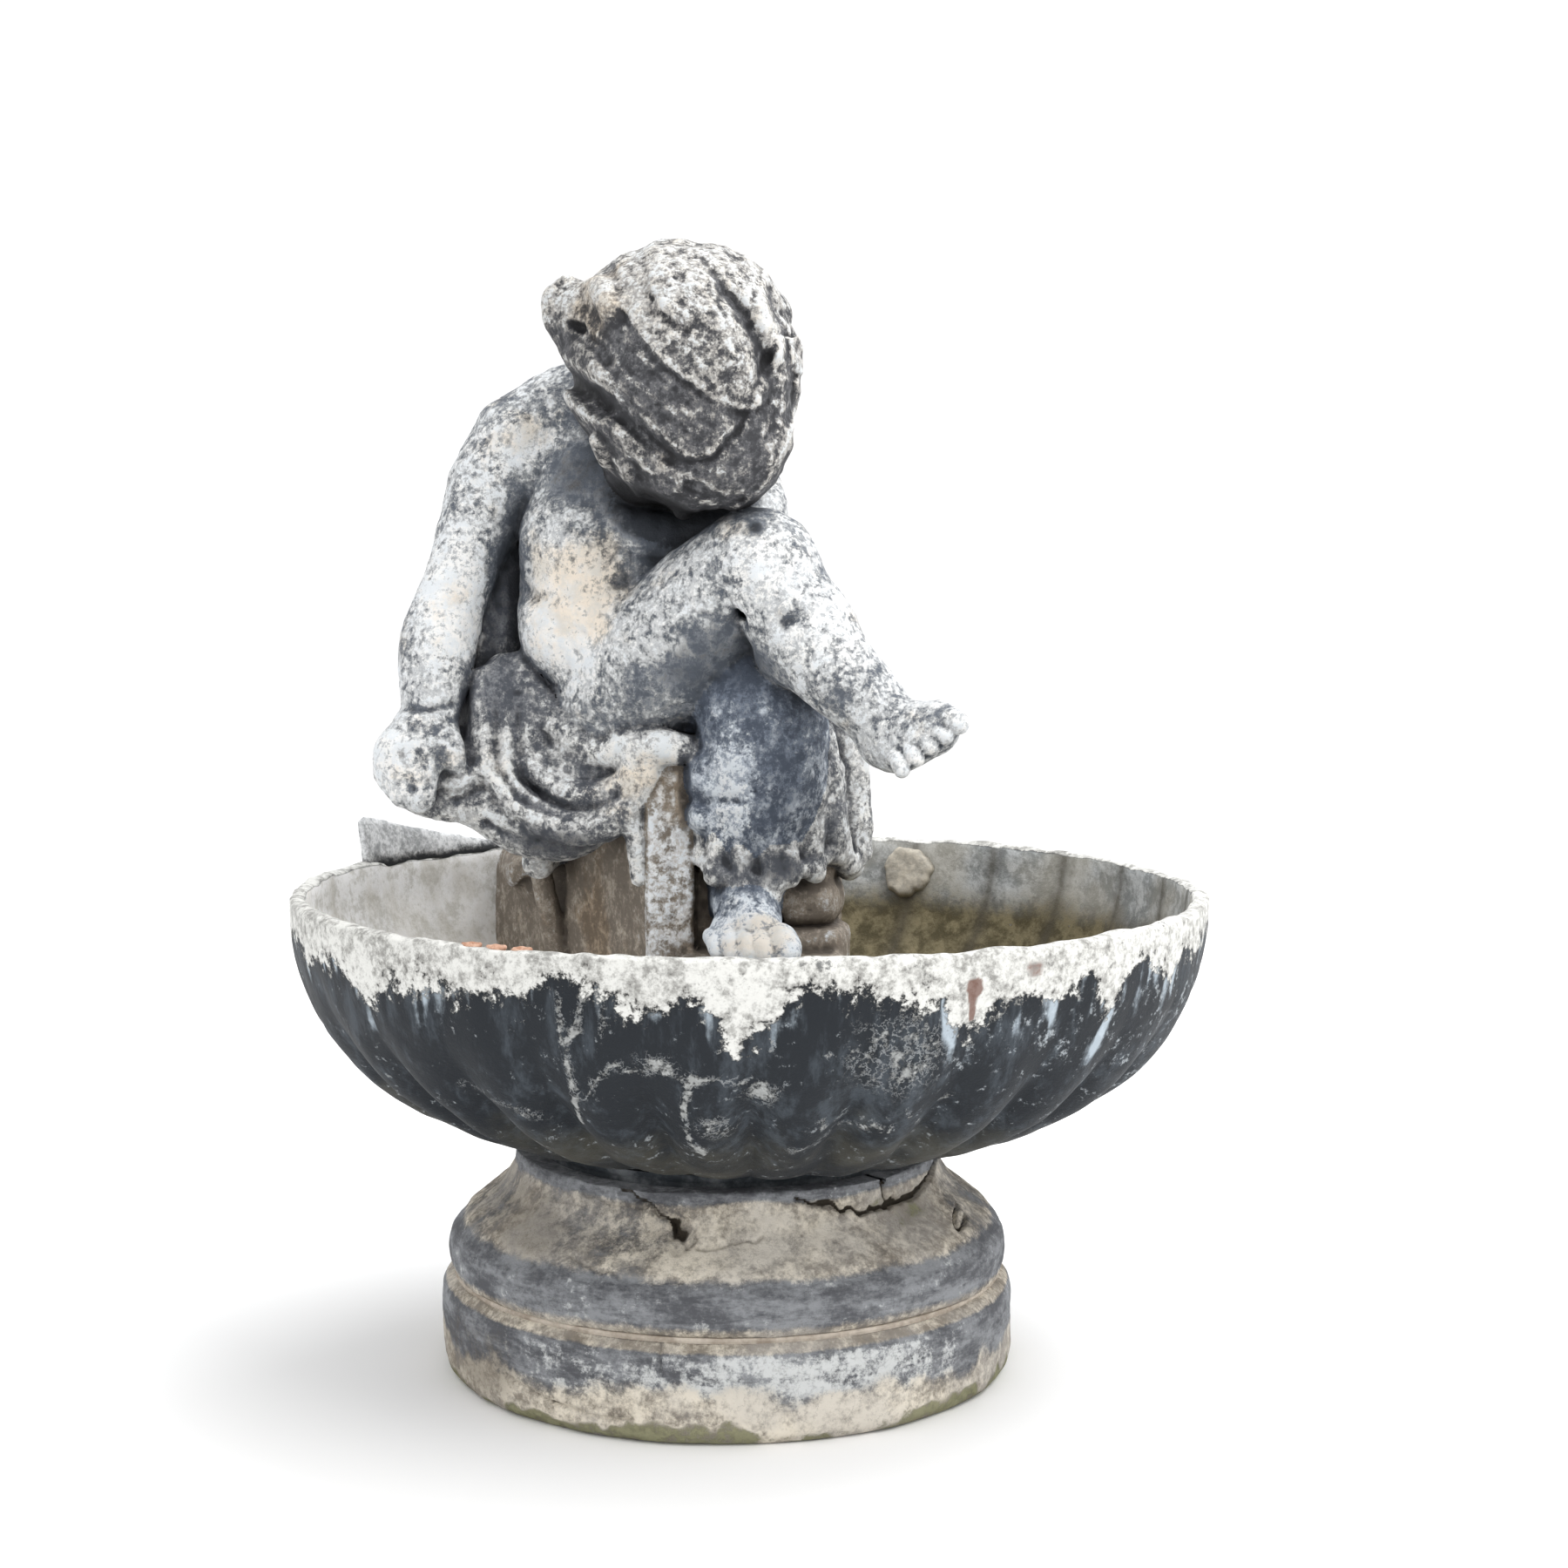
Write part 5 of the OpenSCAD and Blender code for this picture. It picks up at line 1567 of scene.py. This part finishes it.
# Spots of each kind: centre and half sizes in the figure's own millimetres, and strength.
SPOTS = {
    "pale": [
        ((-68, -16, 330), (30, 24, 40), 1.2), ((-92, 0, 400), (30, 40, 26), 0.55),
        ((-118, 8, 330), (22, 40, 44), 0.9), ((40, -64, 320), (26, 26, 30), 0.5),
        ((16, -60, 352), (24, 26, 22), 0.6), ((-110, 12, 372), (16, 34, 22), 0.3),
        ((-44, -26, 270), (20, 14, 14), 0.8), ((-100, -10, 262), (14, 20, 14), 0.5),
        ((-25, -30, 225), (16, 14, 90), 1.2), ((-2, -50, 252), (14, 22, 34), 0.9),
        ((4, -60, 240), (8, 20, 9), 1.0), ((8, -52, 268), (20, 22, 22), 0.3),
        ((10, -66, 198), (30, 30, 20), 1.4), ((58, -4, 262), (10, 16, 40), 0.5),
        ((14, -46, 216), (30, 20, 7), 0.3), ((-140, -16, 268), (20, 16, 20), 0.8),
    ],
    "warm": [
        ((-60, -12, 338), (34, 30, 34), 0.9), ((-84, 40, 404), (34, 40, 24), 0.9),
        ((-52, -40, 462), (22, 40, 26), 0.8), ((0, 50, 400), (30, 40, 24), 0.5),
        ((-40, -30, 256), (40, 24, 22), 0.7), ((2, -50, 240), (9, 16, 10), 0.8),
        ((10, -66, 198), (30, 30, 20), 1.6), ((-66, 20, 180), (20, 40, 60), 0.8),
    ],
    # Most dark spots are painted shade: under the bowed head and in the thin gap between it and the knee,
    # under the crossed leg and the cloth's swag, and in the gaps beside the hanging arm, the standing leg
    # and the pier; the rest darken the standing shin, its hem and a crease on the chest.
    "dark": [
        ((78, -80, 282), (24, 26, 20), 0.1), ((-6, -44, 314), (30, 30, 24), 1.0),
        ((10, -58, 306), (22, 24, 20), 0.8), ((-28, -30, 300), (26, 30, 20), 0.5),
        ((44, -70, 304), (16, 20, 12), 0.6), ((-28, -20, 378), (34, 44, 20), 2.4),
        ((-66, -6, 392), (22, 30, 20), 1.2), ((-20, -10, 372), (30, 30, 22), 2.0),
        ((-92, 6, 352), (9, 30, 44), 0.9), ((-72, -20, 232), (34, 24, 14), 1.1),
        ((-96, 0, 296), (24, 34, 24), 0.8), ((-103, 26, 332), (13, 22, 50), 1.0),
        ((-18, -30, 258), (5, 12, 24), 1.6), ((22, -50, 262), (16, 26, 30), 0.7),
        ((14, -44, 224), (36, 26, 11), 0.7), ((26, -56, 226), (20, 26, 14), 0.6),
        ((12, -66, 369), (6, 26, 5), 2.4), ((-73, -22, 352), (5, 12, 6), 1.4),
        ((-40, -24, 180), (5, 12, 60), 0.8),
    ],
}


def hair_tone(points):
    """Extra pale and dark on the hair: crusted crown, right side and edges, with painted light paling the
    crown and right side towards the top; dark smooth planes, and painted shade in the long channel.
    """
    x, z = points[:, 0] - HEAD_CENTRE[0], points[:, 2] - HEAD_CENTRE[2]
    flat = np.stack([x, z, 0 * x], -1)
    u, v = wavering(flat)
    edge_paths = (CROWN_EDGE, MIDDLE_EDGE, LOW_EDGE, FRINGE_EDGE)
    crown, middle, low, fringe = (above(path, u, v) for path in edge_paths)
    groove = above(SIDE_CHANNEL, u, v)
    right = right_of_channel(u, v, 5)
    on_crown = smooth(crown, -0.5, 2.5)
    # painted light: the crusted crown, and a little the right side, paler towards the top
    lit = np.clip(on_crown * (0.45 + 0.55 * smooth(v, -14, 24)) + 0.15 * right * smooth(v, -45, 0), 0, 1)
    broken = smooth(grit(flat + 70, 13), -0.55, 0.35)
    along_edges = sum(smooth(np.abs(d - 1.8), 5.5, 0.5) for d in (middle, 0.8 * low, fringe))
    edges = np.clip(broken * along_edges, 0, 1)
    temple = spot(x, z, (-38, 30), (18, 15))
    front = smooth(points[:, 1], HEAD_CENTRE[1] + 24, HEAD_CENTRE[1] - 6)
    # painted shade along the long channel down the side of the hair
    channel = np.exp(-(groove / 3.6) ** 2) * smooth(v, -14, 2) * smooth(v, 40, 20)
    pale = front * (0.62 * lit - 0.30 * edges * (1 - on_crown)) + 0.3 * (1 - front)
    dark = front * (0.22 * (1 - np.clip(lit + temple + edges, 0, 1)) + 0.6 * channel)
    return pale, dark


def daub(obj, points):
    """Paints the figure's spots on a piece; points are in its own millimetres."""
    totals = {}
    for kind, spots in SPOTS.items():
        totals[kind] = np.zeros(len(points))
        for centre, half, strength in spots:
            away = np.linalg.norm((points - centre) / np.array(half, float), axis=1)
            totals[kind] += strength * smooth(away, 1.05, 0.35)
    if obj.name == "head_form":
        pale, dark = hair_tone(points)
        totals["pale"] += pale
        totals["dark"] += dark
    for key, values in totals.items():
        tint(obj, key, values)


# ---- studio ---------------------------------------------------------------------------------------

FLOOR_HALF = 6.0 * MM
BACKDROP_STRENGTH = 1.08
# Lights: place beside and above the object's top in metres, size, watts and colour.
LIGHTS = {"key": ((0.65, -0.55, 0.8), 0.9, 8.0, (1.0, 0.99, 0.97)),
          "sky": ((0.50, 0.50, 1.1), 1.2, 14.5, (0.98, 0.99, 1.0))}
# The camera: place, how far down it looks, and its lens.
CAMERA_PLACE = (0.0058, -1.250, 0.399)
CAMERA_DIP = 7.56
CAMERA_LENS = 66.3
CAMERA_SHIFT = (0.0278, 0.0333)


def add_to_scene(name, data, at):
    obj = bpy.data.objects.new(name, data)
    bpy.context.scene.collection.objects.link(obj)
    obj.location = at
    return obj


def area_light(name, at, aim, size, watts, colour):
    """A soft light that points at the aim."""
    data = bpy.data.lights.new(name, "AREA")
    data.size = size
    data.energy = watts
    data.color = colour
    obj = add_to_scene(name, data, at)
    obj.rotation_euler = (Vector(aim) - Vector(at)).to_track_quat("-Z", "Y").to_euler()


def studio():
    """A pale floor under the socle, a white surround and two soft lights."""
    low, high = (np.array(v) for v in CAD_BOUNDS)
    ground = low[2] * MM
    corners = [(x * FLOOR_HALF, y * FLOOR_HALF, ground) for x, y in ((-1, -1), (1, -1), (1, 1), (-1, 1))]
    floor = new_mesh("floor", corners, [[0, 1, 2, 3]])
    floor.data.materials.append(Paint("studio_floor").finish((0.95, 0.95, 0.95, 1.0), 0.9, None, shine=0.0))
    world = bpy.data.worlds.new("studio")
    world.use_nodes = True
    background = world.node_tree.nodes["Background"]
    background.inputs["Color"].default_value = (1.0, 1.0, 1.0, 1)
    background.inputs["Strength"].default_value = BACKDROP_STRENGTH
    bpy.context.scene.world = world
    for name, (at, size, watts, colour) in LIGHTS.items():
        area_light(name, (at[0], at[1], high[2] + at[2]), (low + high) / 2, size, watts, colour)


def photo_camera():
    """The camera, level with the figure's chest and looking slightly down."""
    data = bpy.data.cameras.new("camera")
    data.sensor_width = 36.0
    data.lens = CAMERA_LENS
    data.shift_x, data.shift_y = CAMERA_SHIFT
    obj = add_to_scene("camera", data, CAMERA_PLACE)
    obj.rotation_euler = (math.radians(90 - CAMERA_DIP), 0, 0)
    bpy.context.scene.camera = obj
    bpy.context.scene.view_settings.view_transform = "Standard"


# ---- putting it together ----------------------------------------------------------------------------

def dress(obj, body, slot_name, material, *nodes):
    """Gives a piece its material and its body, and hides the CAD nodes that it stands for; slot_name is not
    used.
    """
    obj.data.materials.clear()
    obj.data.materials.append(material)
    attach(obj, body)
    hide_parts(*nodes)


# Plain finishes: two tones, size of the mottling in mm, roughness and relief in mm.
PLAIN = {
    "solder": ((0.34, 0.32, 0.28), (0.62, 0.57, 0.48), 9, 0.7, 0.4),
    "mortar": ((0.42, 0.38, 0.31), (0.66, 0.62, 0.54), 14, 0.9, 0.8),
    "casting_core": ((0.56, 0.52, 0.44), (0.78, 0.74, 0.66), 12, 0.9, 0.8),
    "rusty_iron": ((0.07, 0.035, 0.022), (0.26, 0.11, 0.045), 6, 0.85, 0.5),
}

paints = {slot_name: cast_paint(slot_name) for slot_name in CAST}
for piece, (obj, skin) in sculpt().items():
    slot_name = SCULPTED[piece][2]
    daub(obj, skin)
    dress(obj, "bowl", slot_name, paints[slot_name], piece)

paints["basin_lead"] = basin_paint()
paints["socle_lead"] = socle_paint()
for slot_name, finish in PLAIN.items():
    paints[slot_name] = simple_paint(slot_name, *finish)
rim_rust = simple_paint("rim_rust", (0.36, 0.17, 0.10), (0.66, 0.44, 0.33), 5, 0.8, 0.4)
groove_dust = simple_paint("groove_dust", (0.30, 0.25, 0.20), (0.55, 0.49, 0.42), 12, 0.85, 0.5)

dress(basin(), "bowl", "basin_lead", paints["basin_lead"], "basin_shell")
dress(hinge_crest(), "bowl", "basin_lead", crest_paint(), "hinge_crest")
dress(patch_disc(), "bowl", "solder", paints["solder"], "interior_patch")
dress(rim_rings(), "bowl", "rusty_iron", rim_rust, "rim_plugs")
for node, (outline, hidden, marks) in TURNED.items():
    dress(turned(node, outline, hidden, marks), "socle", "socle_lead", paints["socle_lead"], node)

under_paint = plain_basin_paint()
# the solder seam under the bowl takes the basin's near-black finish as painted shade
own_paint = {"basin_foot": under_paint, "foot_seam": under_paint, "socle_seam": groove_dust}
for part in frame["record"]["subparts"]:
    obj = frame["nodes"][part["node"]]
    slot_name = part["material_slot"]
    obj.data.materials.clear()
    obj.data.materials.append(own_paint.get(part["node"], paints[slot_name]))

studio()
photo_camera()
